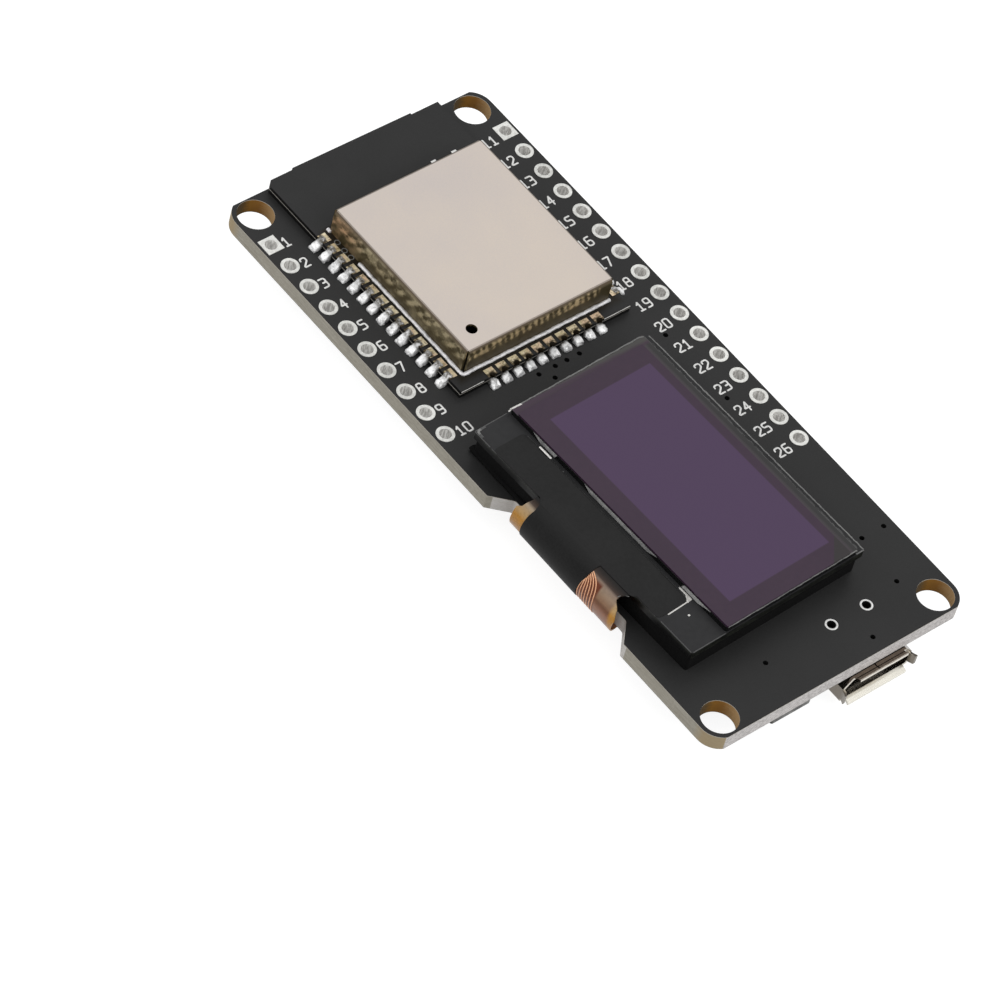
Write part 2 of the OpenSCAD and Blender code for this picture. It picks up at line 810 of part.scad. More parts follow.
module usb_shell() {
  top_lip = usb_w - 2 * usb_chamfer - 0.6;
  low_lip = usb_w - 2 * usb_corner_r - 0.5;
  side_lip = usb_h - usb_chamfer - usb_corner_r - 0.3;
  side_mid = -(usb_chamfer + usb_h - usb_corner_r) / 2;
  foot_w = 2 * usb_chamfer;
  color("#bcb6ad") {
    difference() {
      usb_place(usb_back)
        linear_extrude(usb_l)
          difference() {
            polygon(usb_section(0));
            polygon(usb_section(usb_t));
          }
      usb_pegs(peg_r + fit, -usb_t - cut, cut);
      translate([usb_x + usb_seam_x, usb_front - cut, -usb_t - cut])
        cube([usb_seam_w, usb_l + 2 * cut, usb_t + 2 * cut]);
    }
    translate([usb_x, usb_front, 0]) lip(top_lip);
    translate([usb_x, usb_front, -usb_h]) mirror([0, 0, 1]) lip(low_lip);
    for (s = [-1, 1])
      translate([usb_x + s * usb_w / 2, usb_front, side_mid]) rotate([0, s * 90, 0]) lip(side_lip);
    difference() {
      for (s = [-1, 1], y = usb_foot_y)
        translate([usb_x + s * (usb_w / 2 - usb_chamfer + foot_w / 2), usb_back - y, 0])
          under_box([foot_w, usb_foot_l, usb_t]);
      usb_pegs(peg_r + fit, -usb_t - cut, cut);
    }
  }
}

// Two locating pegs reach up from the socket into the board
module usb_pegs(r, low, high) {
  for (s = [-1, 1])
    translate([usb_x + s * peg_pitch / 2, usb_back - peg_back, low])
      cylinder(h = high - low, r = r, $fn = small_fn);
}

// Moulded insert: a block that fills the back of the shell, a tongue and two pegs
module usb_insert() {
  color("#1c1c1c") {
    usb_place(usb_back)
      linear_extrude(insert_depth) polygon(usb_section(usb_t + fit));
    usb_pegs(peg_r, -usb_t - 2 * fit, peg_depth);
    translate([usb_x - tongue_w / 2, usb_front + tongue_back, tongue_z])
      cube([tongue_w, usb_l - tongue_back - insert_depth + cut, tongue_t]);
  }
}

module usb_contacts() {
  start = 2 * contact_t;
  color("#c9a94f")
    for (i = [-2 : 2])
      translate([usb_x + i * usb_contact_pitch - contact_w / 2, 0, 0]) {
        translate([0, usb_front + tongue_back + start, tongue_z + tongue_t])
          cube([contact_w, usb_l - tongue_back - insert_depth - start, contact_t]);
        translate([0, usb_back, -usb_t - contact_foot_t])
          cube([contact_w, contact_foot_l, contact_foot_t]);
      }
}

module bridge_chip() {
  color("#2a2a2a")
    from_socket_end(bridge_at) mirror([0, 0, 1]) chip_block(bridge_size);
}

// A moulded package: sides that draw in from a parting line
module package(size) {
  draft = 0.12;
  rotate([90, 0, 0])
    linear_extrude(size[1], center = true)
      polygon([
        [-size[0] / 2 + draft, -0.1], [size[0] / 2 - draft, -0.1], [size[0] / 2, -size[2] / 2],
        [size[0] / 2 - draft, -size[2]], [-size[0] / 2 + draft, -size[2]], [-size[0] / 2, -size[2] / 2]
      ]);
}

// A bent lead that leaves a package at half height and lands on the board, along +X
module bent_lead(width, half_h, run) {
  rotate([90, 0, 0])
    linear_extrude(width, center = true)
      polygon([
        [0, -half_h], [0.3 * run, -half_h], [0.55 * run, -lead_t], [run, -lead_t], [run, 0],
        [0.45 * run, 0], [0.2 * run, -half_h + lead_t], [0, -half_h + lead_t]
      ]);
}

module regulator_body() {
  color("#2a2a2a")
    from_socket_end(regulator_at)
      rotate(90) package([regulator_size[1], regulator_size[0], regulator_size[2]]);
}
module regulator_leads() {
  mid = regulator_size[2] / 2;
  edge = regulator_size[1] / 2;
  color("#c9c9c6")
    from_socket_end(regulator_at) {
      for (i = [-1 : 1])
        translate([i * regulator_lead_pitch, -edge, 0])
          rotate(-90) bent_lead(regulator_lead_w, mid, regulator_lead_l);
      translate([0, edge, 0]) rotate(90) bent_lead(regulator_tab_w, mid, regulator_lead_l);
    }
}

module transistor_bodies() {
  color("#2c2c2c") for (p = transistor_at) from_socket_end(p) package(transistor_size);
}
module transistor_leads() {
  mid = transistor_size[2] / 2;
  edge = transistor_size[0] / 2;
  color("#c9c9c6")
    for (p = transistor_at)
      from_socket_end(p) {
        translate([edge, 0, 0]) bent_lead(transistor_lead[0], mid, transistor_lead[1]);
        for (s = [-1, 1])
          translate([-edge, s * transistor_lead_pitch / 2, 0])
            rotate(180) bent_lead(transistor_lead[0], mid, transistor_lead[1]);
      }
}

module diode_body() {
  color("#2c2c2c") from_socket_end(diode_at) package(diode_size);
}
module diode_leads() {
  color("#c9c9c6")
    from_socket_end(diode_at)
      for (s = [-1, 1])
        translate([0, s * diode_size[1] / 2, 0])
          rotate(s * 90) bent_lead(diode_lead[0], diode_size[2] / 2, diode_lead[1]);
}

module at_chips(places) {
  for (p = places) from_socket_end(p) rotate(p[2]) children();
}
module at_capacitors() {
  at_chips(CAPACITORS) children();
  for (p = MODULE_CAPACITORS) translate([p[0], module_low_y + p[1], 0]) rotate(p[2]) children();
}
module resistor_bodies() {
  color("#242424") at_chips(RESISTORS) under_box([chip_l - 2 * chip_end, chip_w, resistor_h]);
}
module capacitor_bodies() {
  color("#a58a66") at_capacitors() under_box([chip_l - 2 * chip_end, chip_w, capacitor_h]);
}
module chip_pair(h) {
  for (s = [-1, 1]) translate([s * (chip_l - chip_end) / 2, 0, 0]) under_box([chip_end, chip_w, h]);
}
module chip_ends() {
  color("#cfcfcb") {
    at_chips(RESISTORS) chip_pair(resistor_h);
    at_capacitors() chip_pair(capacitor_h);
  }
}
module power_led() {
  color("#e8e2c8") from_socket_end(led_at) under_box(led_size);
}

// An oval bar that reaches down from the board, centred on X and Y
module oval_bar(l, w, h) {
  translate([0, 0, -h])
    linear_extrude(h)
      union() {
        square([l - w, w], center = true);
        for (s = [-1, 1]) translate([s * (l - w) / 2, 0]) circle(d = w, $fn = small_fn);
      }
}

// Push switch: a base, a sheet cover with an oval window, a snap dome and a plunger
module switch_base() {
  color("#1d1d1d") mirror([0, 0, 1]) plate(switch_l, switch_w, base_h, case_corner_r);
  color("#c9c9c6")
    for (x = [-1, 1], y = [-1, 1])
      translate([x * (switch_l + leg_l) / 2, y * (switch_w / 2 - leg_w), 0])
        under_box([leg_l, leg_w, leg_t]);
}
module switch_cover() {
  inside_l = switch_l - 2 * cover_t;
  inside_w = switch_w - 2 * cover_t;
  inside_h = switch_h - base_h - cover_t;
  color("#a9a9a6")
    difference() {
      translate([0, 0, -base_h])
        mirror([0, 0, 1]) plate(switch_l, switch_w, switch_h - base_h, case_corner_r);
      translate([0, 0, -base_h + cut])
        mirror([0, 0, 1]) plate(inside_l, inside_w, inside_h + cut, case_corner_r / 2);
      translate([0, 0, -base_h]) oval_bar(window_l, window_w, switch_h);
    }
}
module switch_dome() {
  steps = 6;
  arch = [for (i = [0 : steps]) [dome_d / 2 * i / steps, dome_h * (1 - pow(i / steps, 2))]];
  color("#b5b5b0")
    translate([0, 0, -base_h])
      mirror([0, 0, 1])
        rotate_extrude($fn = round_fn)
          polygon(concat([for (p = arch) p + [0, dome_t]], [for (i = [steps : -1 : 0]) arch[i]]));
}
module switch_plunger() {
  seat = switch_h - cover_t - plunger_gap;
  stem_h = plunger_out + cover_t + plunger_gap;
  gap = 2 * plunger_gap;
  reach = 2 * flange_reach;
  color("#3a3a3c") {
    translate([0, 0, -seat]) oval_bar(window_l - gap, window_w - gap, stem_h);
    translate([0, 0, -seat + flange_t]) oval_bar(window_l + reach, window_w + reach, flange_t);
  }
}

module boot_place() {
  translate([switch_x, boot_y, 0]) children();
}
module reset_place() {
  translate([switch_x, reset_y, 0]) children();
}
module boot_switch_base() { boot_place() switch_base(); }
module boot_switch_cover() { boot_place() switch_cover(); }
module boot_dome() { boot_place() switch_dome(); }
module boot_plunger() { boot_place() switch_plunger(); }
module reset_switch_base() { reset_place() switch_base(); }
module reset_switch_cover() { reset_place() switch_cover(); }
module reset_dome() { reset_place() switch_dome(); }
module reset_plunger() { reset_place() switch_plunger(); }

main_board();
header_pads();
module_board();
module_pads();
module_solder();
shield_can();
can_solder();
radio_chip();
flash_chip();
crystal();
module_passives();
foam_tape();
display_rear_glass();
display_cap_glass();
polariser();
pixel_area();
driver_chip();
driver_cover();
flex_cable();
flex_tape();
flex_solder();
usb_shell();
usb_insert();
usb_contacts();
bridge_chip();
regulator_body();
regulator_leads();
transistor_bodies();
transistor_leads();
diode_body();
diode_leads();
resistor_bodies();
capacitor_bodies();
chip_ends();
power_led();
boot_switch_base();
boot_switch_cover();
boot_dome();
boot_plunger();
reset_switch_base();
reset_switch_cover();
reset_dome();
reset_plunger();
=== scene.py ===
import math

import bpy
from mathutils import Matrix, Vector


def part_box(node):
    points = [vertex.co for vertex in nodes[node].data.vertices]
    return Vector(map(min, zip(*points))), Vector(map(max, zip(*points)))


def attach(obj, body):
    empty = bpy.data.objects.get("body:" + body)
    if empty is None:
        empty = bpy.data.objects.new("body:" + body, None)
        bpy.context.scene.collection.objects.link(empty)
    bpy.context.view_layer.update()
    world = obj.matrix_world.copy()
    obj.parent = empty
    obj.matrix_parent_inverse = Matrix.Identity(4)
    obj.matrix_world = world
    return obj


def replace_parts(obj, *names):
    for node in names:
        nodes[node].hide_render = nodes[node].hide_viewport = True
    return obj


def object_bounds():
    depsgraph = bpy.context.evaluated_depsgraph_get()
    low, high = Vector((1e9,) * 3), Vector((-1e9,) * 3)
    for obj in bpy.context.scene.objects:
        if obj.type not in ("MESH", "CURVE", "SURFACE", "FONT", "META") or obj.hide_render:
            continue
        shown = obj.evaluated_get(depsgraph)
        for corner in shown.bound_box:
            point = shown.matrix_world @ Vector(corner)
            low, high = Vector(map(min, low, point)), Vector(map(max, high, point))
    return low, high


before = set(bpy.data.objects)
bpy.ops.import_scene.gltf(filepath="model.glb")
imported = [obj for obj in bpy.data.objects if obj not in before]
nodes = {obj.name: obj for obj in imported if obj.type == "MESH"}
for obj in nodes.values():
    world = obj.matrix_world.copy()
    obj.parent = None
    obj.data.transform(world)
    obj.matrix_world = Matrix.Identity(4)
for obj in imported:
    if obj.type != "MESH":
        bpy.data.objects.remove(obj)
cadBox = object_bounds()
mm = 0.001
print("frame loaded:", len(nodes), "solids")


# a colour is a grey level or (red, green, blue), each from 0 to 255
def paint(colour):
    def linear(c):
        c = c / 255
        return c / 12.92 if c <= 0.04045 else ((c + 0.055) / 1.055) ** 2.4
    return [linear(c) for c in (colour if isinstance(colour, tuple) else (colour,) * 3)] + [1.0]


def newObject(name, data):
    made = bpy.data.objects.new(name, data)
    bpy.context.scene.collection.objects.link(made)
    return made


def newMesh(name, points, faces=(), edges=()):
    mesh = bpy.data.meshes.new(name)
    mesh.from_pydata([[c * mm for c in p] for p in points], list(edges), list(faces))
    mesh.update()
    return newObject(name, mesh)


# a value in a node tree: sums with it add the nodes that they need
class Wire:
    def __init__(self, tree, socket):
        self.tree, self.socket = tree, socket

    def __add__(self, other):
        return calc("ADD", self, other)

    def __sub__(self, other):
        return calc("SUBTRACT", self, other)

    def __rsub__(self, other):
        return calc("SUBTRACT", other, self)

    def __mul__(self, other):
        return calc("MULTIPLY", self, other)

    def __truediv__(self, other):
        return calc("DIVIDE", self, other)

    def __rtruediv__(self, other):
        return calc("DIVIDE", other, self)

    def __or__(self, other):
        return calc("MAXIMUM", self, other)

    def __abs__(self):
        return calc("ABSOLUTE", self)

    def rise(self, low, high, toLow=0.0, toHigh=1.0):
        return add(self.tree, "ShaderNodeMapRange",
                   {"Value": self, "From Min": low, "From Max": high, "To Min": toLow, "To Max": toHigh})

    def fall(self, low, high):
        return self.rise(low, high, 1.0, 0.0)

    def between(self, low, high, soft=0.02):
        return self.rise(low - soft, low + soft) * self.fall(high - soft, high + soft)

    def near(self, at, width, soft=0.02):
        return self.between(at - width / 2, at + width / 2, soft)


def addNode(tree, kind, inputs=None, **settings):
    node = tree.nodes.new(kind)
    for key, value in settings.items():
        setattr(node, key, value)
    for key, value in (inputs or {}).items():
        if isinstance(value, Wire):
            tree.links.new(value.socket, node.inputs[key])
        else:
            node.inputs[key].default_value = value
    return node


def add(tree, kind, inputs=None, out=0, **settings):
    return Wire(tree, addNode(tree, kind, inputs, **settings).outputs[out])


def treeOf(*values):
    return next(value.tree for value in values if isinstance(value, Wire))


def calc(operation, a, b=0.0):
    return add(treeOf(a, b), "ShaderNodeMath", {0: a, 1: b}, operation=operation)


def mixed(factor, a, b):
    return add(factor.tree, "ShaderNodeMix", {0: factor, 2: a, 3: b})


def blend(factor, a, b, how="MIX"):
    a, b = (colour if isinstance(colour, Wire) else paint(colour) for colour in (a, b))
    return add(treeOf(factor, a, b), "ShaderNodeMix", {0: factor, 6: a, 7: b}, 2, data_type="RGBA", blend_type=how)


# colours laid over one another, each with its mask
def layered(colour, *coats):
    for mask, coat in coats:
        colour = blend(mask, colour, coat)
    return colour


def axes(where):
    return [Wire(where.tree, out) for out in addNode(where.tree, "ShaderNodeSeparateXYZ", {0: where}).outputs]


def speckle(where, scale, detail=3.0, roughness=0.55):
    return add(where.tree, "ShaderNodeTexNoise",
               {"Vector": where, "Scale": scale, "Detail": detail, "Roughness": roughness})


def millimetres(tree, centre=(0, 0, 0), turn=0.0, stretch=(1, 1, 1)):
    return add(tree, "ShaderNodeMapping",
               {"Vector": add(tree, "ShaderNodeTexCoord", out="Object"), "Location": [c * mm for c in centre],
                "Rotation": (0, 0, math.radians(turn)), "Scale": [mm * s for s in stretch]}, vector_type="TEXTURE")


def ramp(value, low, high, stops):
    node = addNode(value.tree, "ShaderNodeValToRGB", {0: value.rise(low, high)})
    band = node.color_ramp.elements
    for element, (at, colour) in zip(band, (stops[0], stops[-1])):
        element.position, element.color = (at - low) / (high - low), paint(colour)
    for at, colour in stops[1:-1]:
        band.new((at - low) / (high - low)).color = paint(colour)
    return Wire(value.tree, node.outputs[0])


# a material in the making: a mottled colour, roughness and height, and what is laid over them
class Skin:
    def __init__(self, material, look):
        material.use_nodes = True
        self.tree = material.node_tree
        self.shader = self.tree.nodes["Principled BSDF"]
        where = self.place(look.get("stretch", (1, 1, 1)))
        self.height = speckle(where, look.get("grainScale", 6.0), look.get("grainDetail", 4.0), 0.6)
        mottle = speckle(where, look.get("cloudScale", 0.25)) * 0.5 + self.height * 0.5
        span = (0.38, 0.62)
        self.colour = blend(mottle.rise(*span), look["dark"], look["light"])
        self.rough = mottle.rise(*span, *look["rough"])
        self.set("Metallic", look.get("metallic", 0.0))
        self.set("Specular IOR Level", look.get("specular", 0.5))

    def set(self, name, value):
        if isinstance(value, Wire):
            self.tree.links.new(value.socket, self.shader.inputs[name])
        else:
            self.shader.inputs[name].default_value = value

    def lay(self, mask, colour):
        self.colour = blend(mask, self.colour, colour)

    def place(self, stretch=(1, 1, 1)):
        return millimetres(self.tree, stretch=stretch)

    def noise(self, stretch, detail, roughness):
        return speckle(self.place(stretch), 1.0, detail, roughness)

    def facing(self):
        return axes(add(self.tree, "ShaderNodeNewGeometry", out="Normal"))

    def upright(self):
        return abs(self.facing()[2]).fall(0.4, 0.6)


def finish(name, look, extra=None):
    material = bpy.data.materials.new(name)
    skin = Skin(material, look)
    if extra:
        extra(skin)
    skin.set("Base Color", skin.colour)
    skin.set("Roughness", skin.rough)
    skin.set("Normal", add(skin.tree, "ShaderNodeBump", {
        "Height": skin.height, "Strength": look.get("bump", 0.3), "Distance": look.get("relief", 0.01) * mm}))
    return material


def dress(material, *names):
    for name in names:
        part = nodes[name]
        if not part.material_slots:
            part.data.materials.append(material)
        for slot in part.material_slots:
            slot.material = material


# Geometry Nodes groups: a named input each for the sizes a user would change, lengths in millimetres
def newGroup(name, lengths, others):
    kinds = {float: "NodeSocketFloat", int: "NodeSocketInt", type(None): "NodeSocketMaterial"}
    tree = bpy.data.node_groups.new(name, "GeometryNodeTree")
    tree.interface.new_socket("Geometry", in_out="INPUT", socket_type="NodeSocketGeometry")
    for label, value in {**lengths, **others}.items():
        socket = tree.interface.new_socket(label, in_out="INPUT", socket_type=kinds[type(value)])
        if label in lengths:
            socket.subtype = "DISTANCE"
        if value is not None:
            socket.default_value = value * mm if label in lengths else value
    tree.interface.new_socket("Geometry", in_out="OUTPUT", socket_type="NodeSocketGeometry")
    return tree, {socket.name: Wire(tree, socket) for socket in tree.nodes.new("NodeGroupInput").outputs}


def closeGroup(solid, given):
    tree = solid.tree
    solid = add(tree, "GeometryNodeSetMaterial", {"Geometry": solid, "Material": given["finish"]})
    tree.links.new(solid.socket, tree.nodes.new("NodeGroupOutput").inputs[0])
    return tree


def grow(source, tree, values, name, body):
    modifier = source.modifiers.new("grow", "NODES")
    modifier.node_group = tree
    for item in tree.interface.items_tree:
        if item.in_out == "INPUT" and item.name in values:
            value = values[item.name]
            modifier[item.identifier] = value * mm if getattr(item, "subtype", "") == "DISTANCE" else value
    made = bpy.data.meshes.new_from_object(source.evaluated_get(bpy.context.evaluated_depsgraph_get()))
    source.modifiers.remove(modifier)
    bpy.data.objects.remove(source)
    piece = newObject(name, made)
    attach(piece, body)
    return piece


# camera
cameraLook = {"stands": (-260.774, -194.283, 369.996), "looksAt": (-12.969, -3.944, 1.5), "roll": -16.961,
              "lens": 219.441, "sensor": 36, "clip": (0.01, 20)}


def placeCamera(look):
    data = bpy.data.cameras.new("photoCamera")
    data.sensor_width, data.lens = look["sensor"], look["lens"]
    data.clip_start, data.clip_end = look["clip"]
    camera = newObject("photoCamera", data)
    ahead = (Vector(look["looksAt"]) - Vector(look["stands"])).normalized()
    level = ahead.cross(Vector((0, 0, 1))).normalized()
    down = ahead.cross(level)
    turn = math.radians(look["roll"])
    right = level * math.cos(turn) + down * math.sin(turn)
    up = -ahead.cross(right)
    rows = [(right[i], up[i], -ahead[i], look["stands"][i] * mm) for i in range(3)]
    camera.matrix_world = Matrix(rows + [(0, 0, 0, 1)])
    bpy.context.scene.camera = camera


placeCamera(cameraLook)
print("camera placed")


# board and pads
boardLook = {
    "dark": 41, "light": 46, "rough": (0.36, 0.48), "bump": 0.12, "grainScale": 9.0, "cloudScale": 0.12,
    "specular": 0.17, "side": (190, 186, 174), "sideDark": (156, 150, 137), "rim": (206, 201, 190),
    "notch": (232, 229, 226), "notchDark": (204, 200, 194), "notchSpan": (-20.6, -3.4), "notchSide": -9.9,
    "sideRough": 0.8, "snapped": (236, 232, 230), "snappedDark": (192, 188, 186),
    "holeLightAndShadeBands": [(-1.0, (64, 54, 38)), (-0.5, (92, 72, 40)), (-0.1, (142, 101, 40)), (0.4, (146, 104, 50)),
        (1.0, (186, 154, 110))],
    "arc": (178, 158, 122), "holeWallShade": 9, "ends": (-31.5, 31.36), "holeAt": (11.6, 29.7), "holeRadius": 1.6,
    "holeLean": (0.857, 0.515), "thick": 1.5, "wellX": (-11.7, 13.2), "wellY": (-31.2, 31.2), "weave": (0.35, 0.65),
}


def boardSides(skin):
    look = boardLook
    x, y, z = axes(skin.place())
    holeX, holeY = look["holeAt"]
    r, thick, (low, high) = look["holeRadius"], look["thick"], look["ends"]
    fibre = skin.noise((0.24, 0.24, 0.1), 4.0, 0.6)
    weave = skin.noise((2.2, 2.2, 0.12), 5.0, 0.7) * 0.6 + fibre * 0.4
    blotchy = weave.rise(*look["weave"])
    dx, dy = abs(x) - holeX, abs(y) - holeY
    inHole = calc("SQRT", dx * dx + dy * dy).fall(r + 0.05, r + 0.09)
    arc = abs(y).rise(holeY - 0.6, holeY + 0.4) * 0.8
    inNotch = y.between(*look["notchSpan"]) * x.fall(look["notchSide"] - 0.1, look["notchSide"])
    sideways = (x - calc("SIGN", x) * holeX) * (look["holeLean"][0] / r)
    endways = (y - calc("SIGN", y) * holeY) * (look["holeLean"][1] / r)
    around = sideways - endways + (weave - 0.5) * 0.9
    # the board's two end faces painted paler, with their fibre
    atEnd = y.fall(low - 0.02, low) | y.rise(high, high + 0.02)
    corner = dx.rise(-0.1, 0.0) * dy.rise(-0.5, -0.4)
    # painted shade: side faces inside the board's outline, the walls of its holes, painted near black
    holeWallShade = x.between(*look["wellX"]) * y.between(*look["wellY"]) * (1.0 - inHole) * (1.0 - corner)
    side = layered(
        blend(blotchy, look["sideDark"], look["side"]), (arc, look["arc"]),
        # painted light: the walls of the notch painted paler than the other sides, standing in for light in the shade
        # there
        (inNotch, blend(blotchy, look["notchDark"], look["notch"])),
        # painted light and shade on the corner hole's wall: a ramp around it, paler on its lit side, darker on the
        # other
        (inHole, ramp(around, -1.0, 1.0, look["holeLightAndShadeBands"])),
        (atEnd, blend(fibre.rise(0.38, 0.62), look["snappedDark"], look["snapped"])), (holeWallShade, look["holeWallShade"]),
        ((1.0 - holeWallShade) * z.rise(thick - 0.07, thick - 0.04), look["rim"]), (z.fall(0.0, 0.06) * 0.6, look["dark"]))
    onSide = skin.upright()
    skin.lay(onSide, side)
    skin.rough = mixed(onSide, skin.rough, look["sideRough"])
    skin.height = mixed(onSide, skin.height, weave)


moduleLook = {
    "dark": 41, "light": 46, "rough": (0.4, 0.5), "bump": 0.12, "grainScale": 8.0, "specular": 0.17, "wall": 15,
    "core": (176, 172, 164), "coreAt": 1.92, "shade": (28, 22, 9), "shadeReach": 1.0, "canAt": (7.9, 7.3, 25.0),
    "edges": (-0.1, 9.1, 5.9),
}


# how far out from the module's edge, below zero over its board
def pastEdge(x, y):
    middle, half, low = moduleLook["edges"]
    return (abs(x - middle) - half) | (low - y)


def moduleSides(skin):
    look = moduleLook
    x, y, z = axes(skin.place())
    wide, low, high = look["canAt"]
    gap = (abs(x) - wide) | (low - y)
    skin.lay(gap.rise(0.3, look["shadeReach"], 0.85, 0.0) * y.fall(high, high + 0.3), look["shade"])
    skin.lay(skin.upright(), blend(z.near(look["coreAt"], 0.07, 0.015), look["wall"], look["core"]))


padLook = {
    "dark": (196, 196, 192), "light": (238, 238, 234), "rough": (0.3, 0.5), "metallic": 0.85, "bump": 0.35,
    "relief": 0.012, "grainScale": 5.0, "barrel": (250, 249, 246), "barrelDark": (190, 188, 184),
    "barrelMetal": 0.25,
}


def padBarrel(skin):
    look, inside = padLook, skin.upright()
    brushed = skin.noise((0.16, 0.16, 0.9), 4.0, 0.65)
    skin.set("Metallic", mixed(inside, look["metallic"], look["barrelMetal"]))
    skin.lay(inside, blend(brushed.rise(0.4, 0.6), look["barrelDark"], look["barrel"]))
    skin.height = mixed(inside, skin.height, brushed)


dress(finish("soldermask", boardLook, boardSides), "main_board")
dress(finish("moduleMask", moduleLook, moduleSides), "module_board")
dress(finish("tinnedPads", padLook, padBarrel), "header_pads")
print("board dressed")


# metals
landLook = {
    "dark": (206, 192, 150), "light": (250, 238, 208), "rough": (0.35, 0.5), "metallic": 0.35, "relief": 0.012,
    "grainScale": 3.0, "cloudScale": 0.5, "tin": (236, 236, 234), "tinFrom": 25.5, "blush": (236, 208, 176),
    "fleck": (128, 106, 70), "outer": (84, 72, 50), "barrel": (54, 46, 32),
}
jointTint = {"shade": (88, 84, 76), "paintedHighlight": 250}
solderLook = {
    "dark": 146, "light": 238, "rough": (0.3, 0.48), "metallic": 0.45, "bump": 0.7, "relief": 0.06,
    "grainScale": 2.6, "grainDetail": 3.0, "cloudScale": 1.4,
}
canLook = {
    "dark": (200, 191, 186), "light": (210, 199, 188), "rough": (0.3, 0.38), "metallic": 1.0, "bump": 0.1,
    "grainScale": 14.0, "cloudScale": 0.09, "wallRough": 0.42, "wallMetal": 0.4, "shade": (74, 64, 38),
    "landReflection": (184, 170, 136), "blush": (212, 172, 132), "fold": (74, 60, 42), "sidePitch": 1.27, "sideLean": 0.9,
    "sideBand": (3.1, 3.6, 4.4, 4.65), "endPitch": 0.635, "endLean": 0.3, "endBand": (3.55, 3.85, 4.45, 4.68),
    "endReflection": (214, 190, 146), "endDark": (5.9, 6.4), "blushOver": (20.5, 23.0),
}
nickelLook = {
    "dark": (186, 180, 170), "light": (226, 220, 208), "rough": (0.16, 0.3), "metallic": 1.0, "bump": 0.2,
    "grainScale": 10.0, "cloudScale": 0.5, "roofReflection": (128, 116, 104), "line": (14, 13, 12), "front": (240, 234, 222),
    "walls": (118, 112, 104), "flangeReflection": (240, 236, 224), "flangeHalf": 3.4, "flangeAt": (-31.8, -2.2),
    "flangeMetal": 0.3, "middle": 4.1, "wallOut": 3.6, "seam": (3.7, 0.12),
    "grooves": ((-31.58, 0.12), (-31.98, 0.08)), "frontAt": -32.26,
}
tinLook = {
    "dark": (180, 180, 178), "light": (226, 226, 224), "rough": (0.25, 0.42), "metallic": 1.0, "relief": 0.015,
    "cloudScale": 1.0,
}
steelLook = {
    "dark": (108, 107, 105), "light": (168, 167, 164), "rough": (0.25, 0.36), "metallic": 1.0, "bump": 0.2,
    "grainScale": 9.0, "stretch": (4, 1, 1), "side": (40, 39, 38), "sideLight": (96, 95, 92),
}


def landTint(skin):
    look, where = landLook, skin.place()
    x, y, z = axes(where)
    skin.lay(speckle(where, 0.6, 2.0).rise(0.5, 0.62), look["blush"])
    skin.lay(speckle(where, 3.6, 4.0, 0.75).rise(0.52, 0.6) * 0.7, look["fleck"])
    # painted shade: the lands darkened, mottled, within about 0.4 mm of the module's edge
    skin.lay(pastEdge(x, y).rise(-0.5, -0.34) * speckle(where, 2.4, 4.0, 0.7).rise(0.36, 0.5), look["outer"])
    skin.lay(y.rise(look["tinFrom"], look["tinFrom"] + 0.1), look["tin"])
    # painted shade: the pads' upright walls above 1.3 mm, in the module's half-holes, darkened
    skin.lay(skin.upright() * z.rise(1.3, 1.4), look["barrel"])


# the joints carry painted shade, mottled, beside the module, and a painted highlight, mottled, out on the board
def jointTone(skin):
    where = skin.place()
    out = pastEdge(*axes(where)[:2])
    collar = out.rise(-0.44, -0.25) * out.fall(0.05, 0.3)
    skin.lay(collar * speckle(where, 2.4, 4.0, 0.75).rise(0.4, 0.56), jointTint["shade"])
    skin.lay(out.rise(0.2, 0.4) * speckle(where, 1.7, 4.0, 0.7).rise(0.42, 0.56), jointTint["paintedHighlight"])


# the can's walls are painted: painted shade, a soft painted reflection of each land, pinker toward the far end, and
# painted shade on the bends at the top's edges
def canWalls(skin):
    look, where = canLook, skin.place()
    x, y, z = axes(where)
    level = abs(skin.facing()[2])
    steep = level.fall(0.9, 0.96)
    wander = speckle(where, 0.5, 2.0) * 3.0
    mottled = speckle(where, 1.3, 4.0, 0.7)

    def reflectionStreaks(along, pitch, lean, band):
        turn = (along + z * lean) * (2 * math.pi / pitch)
        wave = calc("SINE", turn + wander) * 0.09
        return (wave + mottled).rise(0.42, 0.64) * (z.rise(*band[:2]) * z.fall(*band[2:]))

    along = reflectionStreaks(y, look["sidePitch"], look["sideLean"], look["sideBand"])
    low = speckle(where, 0.7).rise(0.5, 0.66, 0.0, 0.3)
    landReflection = blend(y.rise(*look["blushOver"]), look["landReflection"], look["blush"])
    endStreaks = reflectionStreaks(x, look["endPitch"], look["endLean"], look["endBand"]) * x.fall(*look["endDark"])
    wall = layered(blend(along | low, look["shade"], landReflection),
                   (abs(skin.facing()[1]).rise(0.6, 0.7), blend(endStreaks, look["shade"], look["endReflection"])),
                   (level.rise(0.5, 0.7), look["fold"]))
    skin.lay(steep, wall)
    skin.set("Metallic", mixed(steep, look["metallic"], look["wallMetal"]))
    skin.rough = mixed(steep, skin.rough, look["wallRough"])


